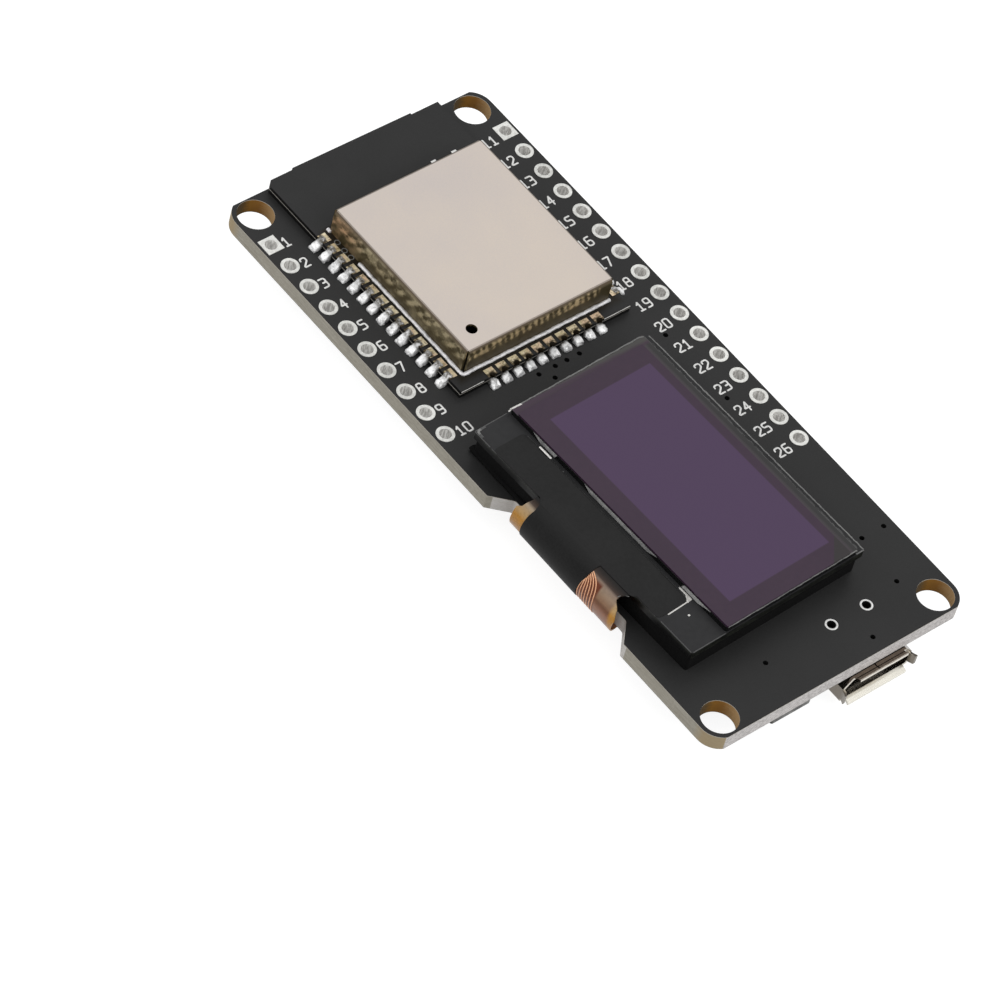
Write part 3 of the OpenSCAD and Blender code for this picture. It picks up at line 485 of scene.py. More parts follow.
def shellRoof(skin):
    look = nickelLook
    x, y, z = axes(skin.place())
    inner, outer = look["grooves"]
    # painted reflection: the shell's roof painted darker; its dark lines are painted shade by the board's edge, where
    # there is also a gap, and at the lip's bend, with the seam; a painted highlight along its front edge
    roofReflection = layered(look["roofReflection"], (y.near(*inner) | y.near(*outer), look["line"]),
                   (x.near(*look["seam"], 0.03), look["line"]),
                   (y.fall(look["frontAt"] - 0.04, look["frontAt"]), look["front"]))
    half, middle, (front, foot) = look["flangeHalf"], look["middle"], look["flangeAt"]
    lip = z.fall(foot - 0.1, foot) * y.fall(front - 0.1, front) * x.between(middle - half, middle + half)
    walls = abs(skin.facing()[0]).rise(0.4, 0.6) | abs(x - middle).rise(look["wallOut"], look["wallOut"] + 0.1)
    skin.lay(walls, look["walls"])
    # painted reflection: the flared lip painted near white, with little metal
    skin.lay(lip, look["flangeReflection"])
    skin.lay(skin.facing()[2].rise(0.5, 0.8) * z.rise(-0.5, -0.4), roofReflection)
    skin.set("Metallic", mixed(lip, look["metallic"], look["flangeMetal"]))


def switchSideShade(skin):
    # painted shade: the upright sides of the switch covers, domes and crystal darkened, blotchy
    blotchy = speckle(skin.place(), 1.4, 4.0, 0.7).rise(0.42, 0.62)
    skin.lay(skin.upright(), blend(blotchy, steelLook["side"], steelLook["sideLight"]))


solder = finish("solder", solderLook)
jointSolder = finish("jointSolder", solderLook, jointTone)
# painted near white with little metal: the solder with a painted highlight
rimSolder = finish("rimSolder", {**solderLook, "dark": (200, 199, 200), "light": (255, 253, 255),
                                 "metallic": 0.2})
tin = finish("tin", tinLook)
dress(finish("goldLands", landLook, landTint), "module_pads", "usb_contacts")
dress(solder, "flex_solder")
dress(finish("canSteel", canLook, canWalls), "shield_can")
dress(finish("nickel", nickelLook, shellRoof), "usb_shell")
dress(tin, "regulator_leads", "transistor_leads", "diode_leads", "chip_ends")
dress(finish("switchSteel", steelLook, switchSideShade), "boot_switch_cover", "reset_switch_cover", "boot_dome",
      "reset_dome", "crystal")
print("metals dressed")


# display
displayLook = {"centre": (-2.23, -11.65, 0), "turn": 1.75, "lit": (-3.87, 7.04, -11.24, 10.41)}
polariserLook = {
    "dark": (46, 25, 47), "light": (50, 29, 50), "rough": (0.1, 0.14), "bump": 0.03, "relief": 0.005,
    "grainScale": 2.0, "cloudScale": 0.2, "lit": (67, 45, 78), "corner": (37, 32, 34), "cut": (0.729, 0.684, 13.18),
    "specular": 0.4,
}
capLook = {
    "dark": (28, 27, 27), "light": (34, 33, 33), "rough": (0.06, 0.12), "bump": 0.02, "grainScale": 2.0,
    "specular": 0.45, "wall": (12, 13, 13), "far": (58, 56, 54), "purple": (50, 29, 48), "sheen": (54, 46, 52),
    "band": (26, 24, 26), "sheenAt": (8.05, 0.3), "bandAt": (8.42, 0.12), "farFrom": 12.0,
    "farEdge": (-0.045, 12.62, 0.3),
}
rearLook = {
    "dark": (44, 44, 45), "light": (49, 49, 50), "rough": (0.3, 0.4), "bump": 0.05, "grainScale": 2.0,
    "specular": 0.12, "edge": (32, 34, 29), "edgeDark": (10, 11, 9), "under": 4, "underTo": 3.85,
}
foamLook = {
    "dark": 6, "light": 15, "rough": (0.8, 0.95), "bump": 0.8, "relief": 0.03, "grainScale": 12.0, "specular": 0.1,
}
filmLook = {
    "dark": 40, "light": 45, "rough": (0.55, 0.65), "bump": 0.1, "relief": 0.02, "grainScale": 3.0,
    "specular": 0.06,
}
tapeLook = {
    "dark": 20, "light": 33, "rough": (0.5, 0.6), "bump": 0.2, "grainScale": 5.0, "cloudScale": 0.35,
    "specular": 0.1, "dullFrom": (45, 88),
}
# the flex cable's fold: a half ellipse, told by its angle (90 up, 0 outward, -90 down)
foldLook = {"x": -11.95, "mid": 2.075, "bulge": 1.5, "tall": 2.135, "sheet": 0.12, "tape": 0.08, "steps": 36}
flexLook = {
    "dark": 150, "light": 255, "rough": (0.25, 0.4), "bump": 0.1, "grainScale": 4.0, "specular": 0.25,
    "shadedBands": [(-60, (160, 112, 88)), (-5, (164, 116, 92)), (9, (124, 78, 48)), (14, (116, 72, 44)),
        (22, (146, 110, 82)), (42, (158, 134, 112)), (56, (138, 118, 102)), (63, (60, 44, 36)), (72, (42, 34, 30)),
        (84, (20, 17, 15)), (92, (8, 7, 7))],
    "ends": [(-60, (186, 124, 26)), (14, (202, 142, 48)), (26, (206, 166, 108)), (52, (178, 158, 132)),
        (62, (70, 52, 40)), (80, (16, 13, 12)), (92, (8, 7, 7))],
    "tracked": (104, 46, 16), "endsAt": (-17.75, -7.6), "trackedSpan": (-16.1, -13.6), "trackedBelow": (48, 58),
}


def foldAngle(skin):
    look, (x, y, z) = foldLook, axes(skin.place())
    out, up = (look["x"] - x) / look["bulge"], (z - look["mid"]) / look["tall"]
    return calc("ARCTAN2", up, out) * (180 / math.pi), y


def onDisplay(skin):
    return axes(millimetres(skin.tree, displayLook["centre"], displayLook["turn"]))[:2]


def litArea(skin):
    u, v = onDisplay(skin)
    left, right, low, high = displayLook["lit"]
    skin.lay(u.between(left, right, 0.06) * v.between(low, high, 0.06), polariserLook["lit"])
    across, along, start = polariserLook["cut"]
    skin.lay((u * across - v * along).rise(start, start + 0.1), polariserLook["corner"])


def capParts(skin):
    u, v = onDisplay(skin)
    look = capLook
    lean, start, uneven = look["farEdge"]
    atFar = v.rise(look["farFrom"], look["farFrom"] + 0.3)
    border = u * lean + start + speckle(skin.place(), 0.8) * uneven
    skin.lay(u.near(*look["sheenAt"], 0.12), look["sheen"])
    skin.lay(u.near(*look["bandAt"], 0.1), look["band"])
    skin.lay(atFar, look["purple"])
    skin.lay((v - border).rise(-0.12, 0.2) * atFar, look["far"])
    skin.lay(skin.upright(), look["wall"])


def glassEdges(skin):
    look = rearLook
    streak = skin.noise((0.9, 0.9, 0.2), 4.0, 0.7).rise(0.42, 0.62)
    # painted shade: the lower part of the glass's left and right faces painted near black
    under = abs(skin.facing()[0]).rise(0.6, 0.7) * axes(skin.place())[2].fall(look["underTo"], look["underTo"] + 0.15)
    skin.lay(skin.upright(), layered(look["edgeDark"], (streak, look["edge"]), (under, look["under"])))


def flexBend(skin):
    look = flexLook
    angle, y = foldAngle(skin)
    low, high = look["endsAt"]
    span = look["shadedBands"][0][0], look["shadedBands"][-1][0]
    # painted light and shade across the fold by its angle: painted shade toward the glass, a painted tan highlight,
    # amber outward; the same over the cable's two ends
    shadedBands = layered(
        ramp(angle, *span, look["shadedBands"]),
        (y.fall(low - 0.3, low) | y.rise(high, high + 0.2), ramp(angle, *span, look["ends"])),
        (y.between(*look["trackedSpan"], 0.1) * angle.fall(*look["trackedBelow"]), look["tracked"]))
    skin.colour = blend(0.35, shadedBands, blend(1.0, shadedBands, skin.colour, "MULTIPLY"))


def tapeBend(skin):
    skin.lay(foldAngle(skin)[0].rise(*tapeLook["dullFrom"]), filmLook["dark"])


dress(finish("polariserFilm", polariserLook, litArea), "polariser")
dress(finish("capGlass", capLook, capParts), "display_cap_glass")
dress(finish("rearGlass", rearLook, glassEdges), "display_rear_glass")
dress(finish("litFilm", {**polariserLook, "dark": (66, 44, 74), "light": (70, 48, 78)}), "pixel_area")
foam = finish("foam", foamLook)
dress(foam, "foam_tape")
coverFilm = finish("coverFilm", filmLook)
blackTape = finish("blackTape", tapeLook, tapeBend)
amberFilm = finish("amberFilm", flexLook, flexBend)
dress(finish("driverSilicon", {"dark": (70, 74, 82), "light": (96, 100, 108), "rough": (0.12, 0.2), "bump": 0.1}),
      "driver_chip")
print("display dressed")


# underside parts
chipLook = {
    "dark": (26, 26, 27), "light": (44, 44, 45), "rough": (0.5, 0.7), "bump": 0.5, "relief": 0.015,
    "grainScale": 14.0,
}
mouldLook = {"dark": 14, "light": 26, "rough": (0.4, 0.55), "bump": 0.25, "grainScale": 9.0}
ceramicLook = {"dark": (150, 118, 84), "light": (186, 152, 112), "rough": (0.45, 0.6), "grainScale": 10.0}
resistorLook = {
    "dark": (22, 22, 24), "light": (36, 36, 38), "rough": (0.3, 0.42), "bump": 0.2, "grainScale": 10.0,
    "side": (214, 208, 196),
}


def resistorSides(skin):
    skin.lay(skin.upright(), resistorLook["side"])


moulded = finish("mouldedBlack", mouldLook)
dress(finish("chipPlastic", chipLook), "radio_chip", "flash_chip", "bridge_chip", "regulator_body",
      "transistor_bodies", "diode_body")
dress(moulded, "usb_insert", "boot_switch_base", "reset_switch_base", "boot_plunger", "reset_plunger")
dress(finish("ceramic", ceramicLook), "capacitor_bodies", "module_passives")
dress(finish("resistorBody", resistorLook, resistorSides), "resistor_bodies")
dress(finish("ledResin", {"dark": (214, 196, 150), "light": (240, 228, 190), "rough": (0.2, 0.3),
                          "bump": 0.1, "grainScale": 5.0}), "power_led")
print("underside dressed")


# printed numbers and marks
inkLook = {
    "dark": (214, 214, 212), "light": (246, 246, 244), "rough": (0.5, 0.7), "grainScale": 12.0, "cloudScale": 2.0,
}
markBase = {
    "dark": (190, 188, 184), "light": (236, 234, 230), "rough": (0.3, 0.4), "metallic": 0.3, "bump": 0.1,
}
ink = finish("whiteInk", inkLook)
brightMark = finish("brightMark", markBase)
greyMark = finish("greyMark", {**markBase, "dark": 88, "light": (128, 128, 126), "metallic": 0.0})
dimMark = finish("dimMark", {**markBase, "dark": 52, "light": 74, "metallic": 0.0})


def joined(*pieces):
    join = addNode(pieces[0].tree, "GeometryNodeJoinGeometry")
    for piece in pieces:
        piece.tree.links.new(piece.socket, join.inputs[0])
    return Wire(pieces[0].tree, join.outputs[0])


def tubeAlong(line, half):
    ring = add(line.tree, "GeometryNodeCurvePrimitiveCircle", {"Resolution": 8, "Radius": half})
    return add(line.tree, "GeometryNodeCurveToMesh", {"Curve": line, "Profile Curve": ring, "Fill Caps": True})


# each point's place, squeezed in height toward the group's level
def flattened(given):
    level = given["level"]
    tree = level.tree
    x, y, z = axes(add(tree, "GeometryNodeInputPosition"))
    flat = add(tree, "ShaderNodeMath", {0: z - level, 1: given["flatness"], 2: level}, operation="MULTIPLY_ADD")
    return add(tree, "ShaderNodeCombineXYZ", {0: x, 1: y, 2: flat})


def strokeGroup():
    tree, given = newGroup("strokes", {"width": 0.18, "rounding": 0.12, "level": 0.0},
                           {"flatness": 0.15, "finish": None})
    line = add(tree, "GeometryNodeMeshToCurve", {0: given["Geometry"]})
    line = add(tree, "GeometryNodeFilletCurve",
               {"Curve": line, "Radius": given["rounding"], "Limit Radius": True, "Count": 3}, mode="POLY")
    half = given["width"] * 0.5
    tube = tubeAlong(line, half)
    points = add(tree, "GeometryNodeCurveToPoints", {"Curve": line}, mode="EVALUATED")
    ball = add(tree, "GeometryNodeMeshUVSphere", {"Segments": 8, "Rings": 4, "Radius": half})
    balls = add(tree, "GeometryNodeInstanceOnPoints", {"Points": points, "Instance": ball})
    solid = add(tree, "GeometryNodeRealizeInstances", {0: joined(tube, balls)})
    return closeGroup(add(tree, "GeometryNodeSetPosition", {"Geometry": solid, "Position": flattened(given)}), given)


strokes = strokeGroup()


def lineMesh(name, lines):
    points, edges = [], []
    for line in lines:
        first, closed = len(points), len(line) > 2 and line[0] == line[-1]
        points += line[:-1] if closed else line
        edges += [(k, k + 1) for k in range(first, len(points) - 1)]
        if closed:
            edges.append((len(points) - 1, first))
    return newMesh(name + "Lines", points, edges=edges)


def drawn(name, lines, level, values, finishUsed):
    source = lineMesh(name, [[(x, y, level) for x, y in line] for line in lines])
    return grow(source, strokes, {**values, "level": level, "finish": finishUsed}, name, "board")


digits = {
    "0": [[(0, 0), (1, 0), (1, 1), (0, 1), (0, 0)]],
    "1": [[(0.15, 0.76), (0.5, 1)], [(0.5, 1), (0.5, 0)], [(0.12, 0), (0.88, 0)]],
    "2": [[(0, 0.76), (0, 1), (1, 1), (1, 0.6), (0, 0.1), (0, 0), (1, 0)]],
    "3": [[(0, 1), (1, 1), (1, 0.53), (0.35, 0.53)], [(1, 0.53), (1, 0), (0, 0)]],
    "4": [[(0.72, 0), (0.72, 1)], [(0.72, 1), (0, 0.34)], [(0, 0.34), (1, 0.34)]],
    "5": [[(1, 1), (0, 1), (0, 0.56), (1, 0.56), (1, 0), (0, 0)]],
    "6": [[(0.9, 1), (0, 1), (0, 0), (1, 0), (1, 0.55), (0, 0.55)]],
    "7": [[(0, 1), (1, 1)], [(1, 1), (0.35, 0)]],
    "8": [[(0, 0), (1, 0), (1, 0.53), (0, 0.53), (0, 0)], [(0.06, 0.53), (0.06, 1), (0.94, 1), (0.94, 0.53)]],
    "9": [[(0.1, 0), (1, 0), (1, 1), (0, 1), (0, 0.46), (1, 0.46)]],
}
numberLook = {
    "height": 0.92, "wide": 0.52, "step": 0.8, "firstPad": 26.43, "pitch": 2.54, "drop": 0.3,
    "leftStart": -11.5, "rightEnd": 11.2, "leftCount": 10, "rightCount": 16,
    "width": 0.165, "rounding": 0.16, "flatness": 0.2, "level": 1.5,
}


def written(text, x, y, look):
    return [[(x + i * look["step"] + px * look["wide"], y + (py - 0.5) * look["height"]) for px, py in line]
            for i, digit in enumerate(text) for line in digits[digit]]


# each pad's number, its width, whether it is in the left row, and its height on the board
def padNumbers(look, drop):
    for i in range(look["leftCount"] + look["rightCount"]):
        left, number = i < look["leftCount"], str(i + 1)
        row = i if left else i - look["leftCount"]
        wide = (len(number) - 1) * look["step"] + look["wide"]
        yield number, wide, left, look["firstPad"] - row * look["pitch"] + drop


def headerNumbers(look):
    lines = []
    for number, wide, left, y in padNumbers(look, -look["drop"]):
        lines += written(number, look["leftStart"] if left else look["rightEnd"] - wide, y, look)
    drawn("headerNumbers", lines, look["level"], look, ink)


headerNumbers(numberLook)

ringLook = {
    "places": [(2.2, -27.5), (6.0, -27.5)], "radius": 0.48, "level": 1.5, "width": 0.17, "rounding": 0.0,
    "flatness": 0.2,
}


def circle(cx, cy, radius, steps=24):
    points = [(cx + radius * math.cos(2 * math.pi * i / steps), cy + radius * math.sin(2 * math.pi * i / steps))
              for i in range(steps)]
    return points + [points[0]]


pegRings = [circle(x, y, ringLook["radius"]) for x, y in ringLook["places"]]
drawn("pegRings", pegRings, ringLook["level"], ringLook, ink)

# the underside: the same numbers turned to read from below, and part outlines
underLook = {
    "around": ("regulator_body", "bridge_chip", "boot_switch_base", "reset_switch_base", "diode_body"),
    "spare": 0.3, "dot": (3.05, -17.05), "dotRadius": 0.12, "width": 0.14, "rounding": 0.1, "flatness": 0.2,
}


def underNumbers(look):
    lines = []
    for number, wide, left, y in padNumbers(look, look["drop"]):
        start = look["leftStart"] + wide if left else look["rightEnd"]
        lines += [[(start - px, py) for px, py in line] for line in written(number, 0, y, look)]
    drawn("underNumbers", lines, 0.0, look, ink)


def underOutlines(look):
    lines = [circle(*look["dot"], look["dotRadius"], 12)]
    for name in look["around"]:
        low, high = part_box(name)
        x0, y0 = [c / mm - look["spare"] for c in low[:2]]
        x1, y1 = [c / mm + look["spare"] for c in high[:2]]
        lines.append([(x0, y0), (x1, y0), (x1, y1), (x0, y1), (x0, y0)])
    drawn("underOutlines", lines, 0.0, look, ink)


underNumbers(numberLook)
underOutlines(underLook)


def unevenness(given, size, out):
    tree = given[size].tree
    return add(tree, "ShaderNodeTexNoise", {"Vector": add(tree, "GeometryNodeInputPosition"), "W": given["seed"],
                                            "Scale": 1.0 / given[size], "Detail": 2.0}, out, noise_dimensions="4D")


def pushed(vector, amount):
    return add(vector.tree, "ShaderNodeVectorMath", {0: vector, "Scale": amount}, operation="SCALE")


def wavyGroup():
    tree, given = newGroup("wavyStrokes", {"width": 0.12, "step": 0.12, "waver": 0.03, "waverSize": 0.5, "level": 0.0},
                           {"flatness": 0.3, "seed": 1.0, "finish": None})
    line = add(tree, "GeometryNodeMeshToCurve", {0: given["Geometry"]})
    line = add(tree, "GeometryNodeResampleCurve", {"Curve": line, "Length": given["step"]}, mode="LENGTH")
    tube = tubeAlong(line, given["width"] * 0.5)
    centred = add(tree, "ShaderNodeVectorMath", {0: unevenness(given, "waverSize", 1), 1: (0.5, 0.5, 0.5)},
                  operation="SUBTRACT")
    solid = add(tree, "GeometryNodeSetPosition", {"Geometry": tube, "Position": flattened(given),
                                                  "Offset": pushed(centred, given["waver"])})
    return closeGroup(add(tree, "GeometryNodeRealizeInstances", {0: solid}), given)


wavyStrokes = wavyGroup()


def wavy(name, lines, values, finishUsed):
    values = {**values, "level": lines[0][0][2], "finish": finishUsed}
    return grow(lineMesh(name, lines), wavyStrokes, values, name, "board")


def glassPoint(u, v, z):
    turn = math.radians(displayLook["turn"])
    cx, cy = displayLook["centre"][:2]
    return (cx + u * math.cos(turn) - v * math.sin(turn), cy + u * math.sin(turn) + v * math.cos(turn), z)


def onGlass(lines, z):
    return [[glassPoint(u, v, z) for u, v in line] for line in lines]


# marks on the glass, in the display's own directions: u across it, v along it; the L at the film's corner and the cap
# corner's T are painted highlights
markLook = {
    "width": 0.2, "rounding": 0.0, "flatness": 0.12,
    "marks": [
        ("filmCornerHighlightAndDot", 4.155, 0.2, brightMark, "gold_plate",
         [[(-5.9, -9.02), (-5.9, -7.75)], [(-6.3, -9.12), (-5.95, -8.6)], [(-7.12, -10.17), (-7.1, -10.17)]]),
        ("filmMarks", 4.43, 0.2, brightMark, "gold_plate", [[(-6.2, 7.6), (-6.2, 8.86)]]),
        ("capCornerGlintStem", 4.5, 0.15, brightMark, "dark_glass",
         [[(-5.95, 13.0), (-5.62, 13.06)], [(-5.66, 13.1), (-5.5, 12.78)]]),
        ("filmCornerHighlight", 4.155, 0.13, brightMark, "gold_plate",
         [[(-8.44, -9.2), (-5.9, -9.1)], [(-6.1, -9.08), (-5.95, -8.85)]]),
        ("ledgeFaintMarks", 4.155, 0.14, greyMark, "gold_plate", [[(-6.12, 6.15), (-6.1, 6.15)]]),
        ("capCornerGlint", 4.655, 0.17, brightMark, "dark_glass", [[(-5.62, 13.0), (-4.72, 12.96)]]),
    ],
}
for name, level, width, inkUsed, slotName, lines in markLook["marks"]:
    flatLines = [[point[:2] for point in line] for line in onGlass(lines, level)]
    drawn(name, flatLines, level, {**markLook, "width": width}, inkUsed)

# ground glass edges: fine uneven pale lines along the glass and film edges, the ground edge's own pallor with a painted
# highlight; the ledge corner's pieces and the rear glass's specks are painted glints
edgeLook = {"width": 0.085, "step": 0.2, "waver": 0.05, "waverSize": 0.35, "flatness": 0.4}
cornerLook = {"waver": 0.03, "waverSize": 0.3, "flatness": 0.2}
edgeLines = [
    ("capEdges", 4.66, {"width": 0.13, "waver": 0.16, "waverSize": 0.5, "seed": 2.0}, greyMark, "dark_glass",
     [[(-4.7, 12.98), (8.3, 12.98), (8.6, 12.85)], [(8.5, -13.02), (-5.6, -13.02)]]),
    ("capSideEdge", 4.64, {"width": 0.07, "seed": 3.0}, dimMark, "dark_glass", [[(8.66, 12.8), (8.66, -12.9)]]),
    ("rearEdges", 4.16, {"width": 0.13, "waver": 0.14, "waverSize": 0.25, "seed": 5.0}, greyMark, "dark_glass",
     [[(9.42, 12.95), (9.42, -13.0)], [(9.4, -13.06), (8.6, -13.06)]]),
    ("rearGlints", 4.14, {"width": 0.09, "waver": 0.2, "waverSize": 0.3, "seed": 6.0}, dimMark, "dark_glass",
     [[(9.1, 12.2), (9.1, -12.6)]]),
    ("ledgeEdges", 4.145, {"width": 0.1, "seed": 7.0}, dimMark, "dark_glass",
     [[(-9.44, -9.4), (-9.44, -13.0)], [(-9.3, -13.1), (-5.8, -13.1)], [(-9.46, 11.2), (-9.44, 13.08), (-6.0, 13.1)]]),
    ("ledgeCornerGlow", 4.16, {**cornerLook, "width": 0.22, "seed": 13.0}, dimMark, "dark_glass",
     [[(-9.3, 12.25), (-9.27, 12.97), (-8.4, 13.0)]]),
    ("ledgeCornerGlint", 4.17, {**cornerLook, "width": 0.24, "seed": 14.0}, greyMark, "dark_glass",
     [[(-9.3, 12.62), (-9.25, 12.97), (-8.9, 12.99)]]),
    ("filmEdges", 4.185, {"width": 0.05, "waver": 0.02, "seed": 9.0}, dimMark, "black_film",
     [[(-9.5, -8.8), (-9.5, -6.9)], [(-9.5, 6.0), (-9.5, 11.0)], [(-6.13, -8.6), (-6.13, 10.4)]]),
]
for name, level, changes, inkUsed, slotName, lines in edgeLines:
    wavy(name, onGlass(lines, level), {**edgeLook, **changes}, inkUsed)

# silver strips on the cap glass's wall beside the ledge: (v, z) outlines
stripLook = {
    "u": -5.765, "thick": 0.02, "outlines": [
        [(10.25, 4.62), (9.3, 4.2), (7.58, 4.2), (7.36, 4.62)],
        [(4.05, 4.62), (3.3, 4.2), (-3.6, 4.2), (-4.7, 4.62)],
        [(-7.98, 4.62), (-7.76, 4.2), (-9.7, 4.2), (-11.1, 4.62)],
    ],
    "finish": {"dark": 140, "light": (184, 184, 182), "rough": (0.35, 0.5), "metallic": 0.1,
               "bump": 0.2, "grainScale": 2.0, "cloudScale": 0.8},
}


def wallStrips(look):
    points, faces = [], []
    for outline in look["outlines"]:
        first, n = len(points), len(outline)
        for u in (look["u"], look["u"] + look["thick"]):
            points += [glassPoint(u, v, z) for v, z in outline]
        faces += [[first + i for i in range(n)][::-1], [first + n + i for i in range(n)]]
        faces += [[first + i, first + (i + 1) % n, first + n + (i + 1) % n, first + n + i] for i in range(n)]
    piece = newMesh("wallStrips", points, faces)
    piece.data.materials.append(finish("silverEdge", look["finish"]))
    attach(piece, "board")


wallStrips(stripLook)
print("numbers and marks drawn")


# solder joints: a full blob at each edge contact, each a little different
jointLook = {
    # outward, bottom, top, half width, all from the module's edge and the board's face
    "side": [
        (-0.46, 0.8, 0.84, 0.3), (-0.42, 0.78, 0.91, 0.36), (-0.28, 0.78, 0.96, 0.4), (-0.1, 0.7, 0.95, 0.41),
        (0.0, 0.0, 0.9, 0.42), (0.12, 0.0, 0.78, 0.43), (0.28, 0.0, 0.64, 0.45), (0.46, 0.0, 0.56, 0.46),
        (0.64, 0.0, 0.46, 0.46), (0.78, 0.0, 0.3, 0.44), (0.85, 0.0, 0.1, 0.4),
    ],
    "end": [
        (-0.1, 0.0, 0.3, 0.34), (-0.05, 0.0, 0.42, 0.43), (0.1, 0.0, 0.48, 0.48), (0.3, 0.0, 0.46, 0.5),
        (0.5, 0.0, 0.42, 0.51), (0.68, 0.0, 0.33, 0.5), (0.8, 0.0, 0.18, 0.47), (0.84, 0.0, 0.08, 0.43),
    ],
    "across": 9, "top": 1.5, "square": 6, "centreX": -0.1, "halfWidth": 9.1, "firstY": 7.82, "endY": 5.9,
    "pitch": 1.27, "sideCount": 14, "endCount": 10, "uneven": 0.13, "unevenSize": 0.32, "seed": 3.0,
}


def blobMesh(look, sections):
    n, top = look["across"], look["top"]
    ring = n + 3
    points = []
    for out, low, high, half in sections:
        for t in (2 * i / (n - 1) - 1 for i in range(n)):
            points.append((out, half * t, low + (high - low) * (1 - abs(t) ** look["square"]) ** 0.5 + top))
        points += [(out, half * t, low + top) for t in (0.6, 0.0, -0.6)]
    last = (len(sections) - 1) * ring
    faces = [tuple(range(ring)), tuple(range(last, last + ring))[::-1]]
    for first in range(0, last, ring):
        for i in range(ring):
            a, b = first + i, first + (i + 1) % ring
            faces.append((a, a + ring, b + ring, b))
    return newMesh("blob", points, faces)


def jointGroup():
    tree, given = newGroup("solderJoints", {"pitch": 1.27, "centreX": 0.0, "halfWidth": 9.1, "firstY": 0.0, "endY": 0.0,
                                            "uneven": 0.08, "unevenSize": 0.5},
                           {"sideCount": 14, "endCount": 10, "seed": 1.0, "finish": None})
    pitch, middle = given["pitch"], given["centreX"]

    def row(count, x, y, axis, turn):
        start = add(tree, "ShaderNodeCombineXYZ", {0: x, 1: y})
        offset = add(tree, "ShaderNodeCombineXYZ", {axis: pitch})
        line = add(tree, "GeometryNodeMeshLine", {"Count": count, "Start Location": start, "Offset": offset})
        return add(tree, "GeometryNodeInstanceOnPoints",
                   {"Points": line, "Instance": given["Geometry"], "Rotation": (0, 0, turn)})

    rows = [row(given["sideCount"], middle + given["halfWidth"] * side, given["firstY"], 1, turn)
            for side, turn in ((-1.0, math.pi), (1.0, 0))]
    span = (given["endCount"] - 1.0) * (pitch * 0.5)
    rows.append(row(given["endCount"], middle - span, given["endY"], 0, -math.pi / 2))
    solid = add(tree, "GeometryNodeRealizeInstances", {0: joined(*rows)})
    solid = add(tree, "GeometryNodeSubdivisionSurface", {"Mesh": solid, "Level": 1})
    amount = (unevenness(given, "unevenSize", 0) - 0.5) * (given["uneven"] * 2.0)
    push = pushed(add(tree, "GeometryNodeInputNormal"), amount)
    solid = add(tree, "GeometryNodeSetPosition", {"Geometry": solid, "Offset": push})
    return closeGroup(add(tree, "GeometryNodeSetShadeSmooth", {0: solid}), given)


joints = jointGroup()


def solderJoints(look, kind):
    values = {**look, "finish": jointSolder, {"side": "endCount", "end": "sideCount"}[kind]: 0}
    return grow(blobMesh(look, look[kind]), joints, values, kind + "Joints", "board")


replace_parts(solderJoints(jointLook, "side"), "module_solder")
solderJoints(jointLook, "end")

# uneven solder along the can's foot, painted near white as a painted highlight, and a painted highlight along the foot
# of the module's lower edge
rimLook = {"width": 0.34, "step": 0.12, "waver": 0.2, "waverSize": 0.5, "flatness": 0.85, "seed": 11.0,
           "lines": [[(-8.02, 20.7, 2.38), (-8.02, 7.3, 2.38), (-7.9, 7.16, 2.38), (7.7, 7.16, 2.38)],
                     [(-7.98, 24.55, 2.38), (-7.93, 24.95, 2.38)]]}
canRim = wavy("canRim", rimLook["lines"], rimLook, rimSolder)
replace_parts(canRim, "can_solder")
ventLook = {
    "places": [(-8.12, 23.44), (-8.16, 22.45), (-8.14, 21.6)], "radius": 0.24, "level": 2.32, "width": 0.09,
    "rounding": 0.0, "flatness": 0.4,
}
vents = [circle(x, y, ventLook["radius"], 16) for x, y in ventLook["places"]]
drawn("footRings", vents, ventLook["level"], ventLook, greyMark)
footLook = {"width": 0.1, "step": 0.3, "waver": 0.03, "waverSize": 0.6, "flatness": 0.4, "seed": 4.0,
            "lines": [[(-9.15, 5.88, 2.22), (-6.8, 5.88, 2.22)], [(6.1, 5.88, 2.22), (8.9, 5.88, 2.22)]]}
wavy("moduleEdge", footLook["lines"], footLook, brightMark)
print("solder laid")


# the folded flex cable, its tape and the black film, each a thin sheet with an uneven outline
sheetLook = {
    "flexLow": [(90, -18.1), (70, -17.75), (53, -17.65), (37, -18.25), (6, -18.55), (-25, -18.3), (-90, -17.9)],
    "flexHigh": [(90, -6.6), (72, -6.7), (55, -6.5), (40, -6.35), (31, -5.95), (0, -5.85), (-90, -5.4)],
    "tapeLow": [(90, -14.66), (76, -14.6), (38, -14.5), (-8, -14.14), (-44, -13.95), (-90, -13.8)],
    "tapeHigh": [(90, -7.3), (57, -7.5), (30, -7.32), (-44, -7.0), (-90, -6.8)], "bondX": -10.75, "neckX": -10.75,
    "tail": (-21.35, -1.95), "tailEnd": -7.0, "tapeUnder": -11.35, "glassEdge": -9.5,
    "overGlass": [(0.3, 0.03), (0.0, 0.022), (-0.15, 0.01)],
}
foldEnds = (foldLook["mid"] + foldLook["tall"], foldLook["mid"] - foldLook["tall"])


def foldPoint(angle, off):
    look, a = foldLook, math.radians(angle)
    out = Vector((-math.cos(a) / look["bulge"], math.sin(a) / look["tall"])).normalized()
    return (look["x"] - look["bulge"] * math.cos(a) + off * out.x,
            look["mid"] + look["tall"] * math.sin(a) + off * out.y)


def outlineAt(table, angle):
    for (a, ya), (b, yb) in zip(table, table[1:]):
        if b <= angle <= a:
            return ya + (yb - ya) * (a - angle) / (a - b)
    return table[-1][1]


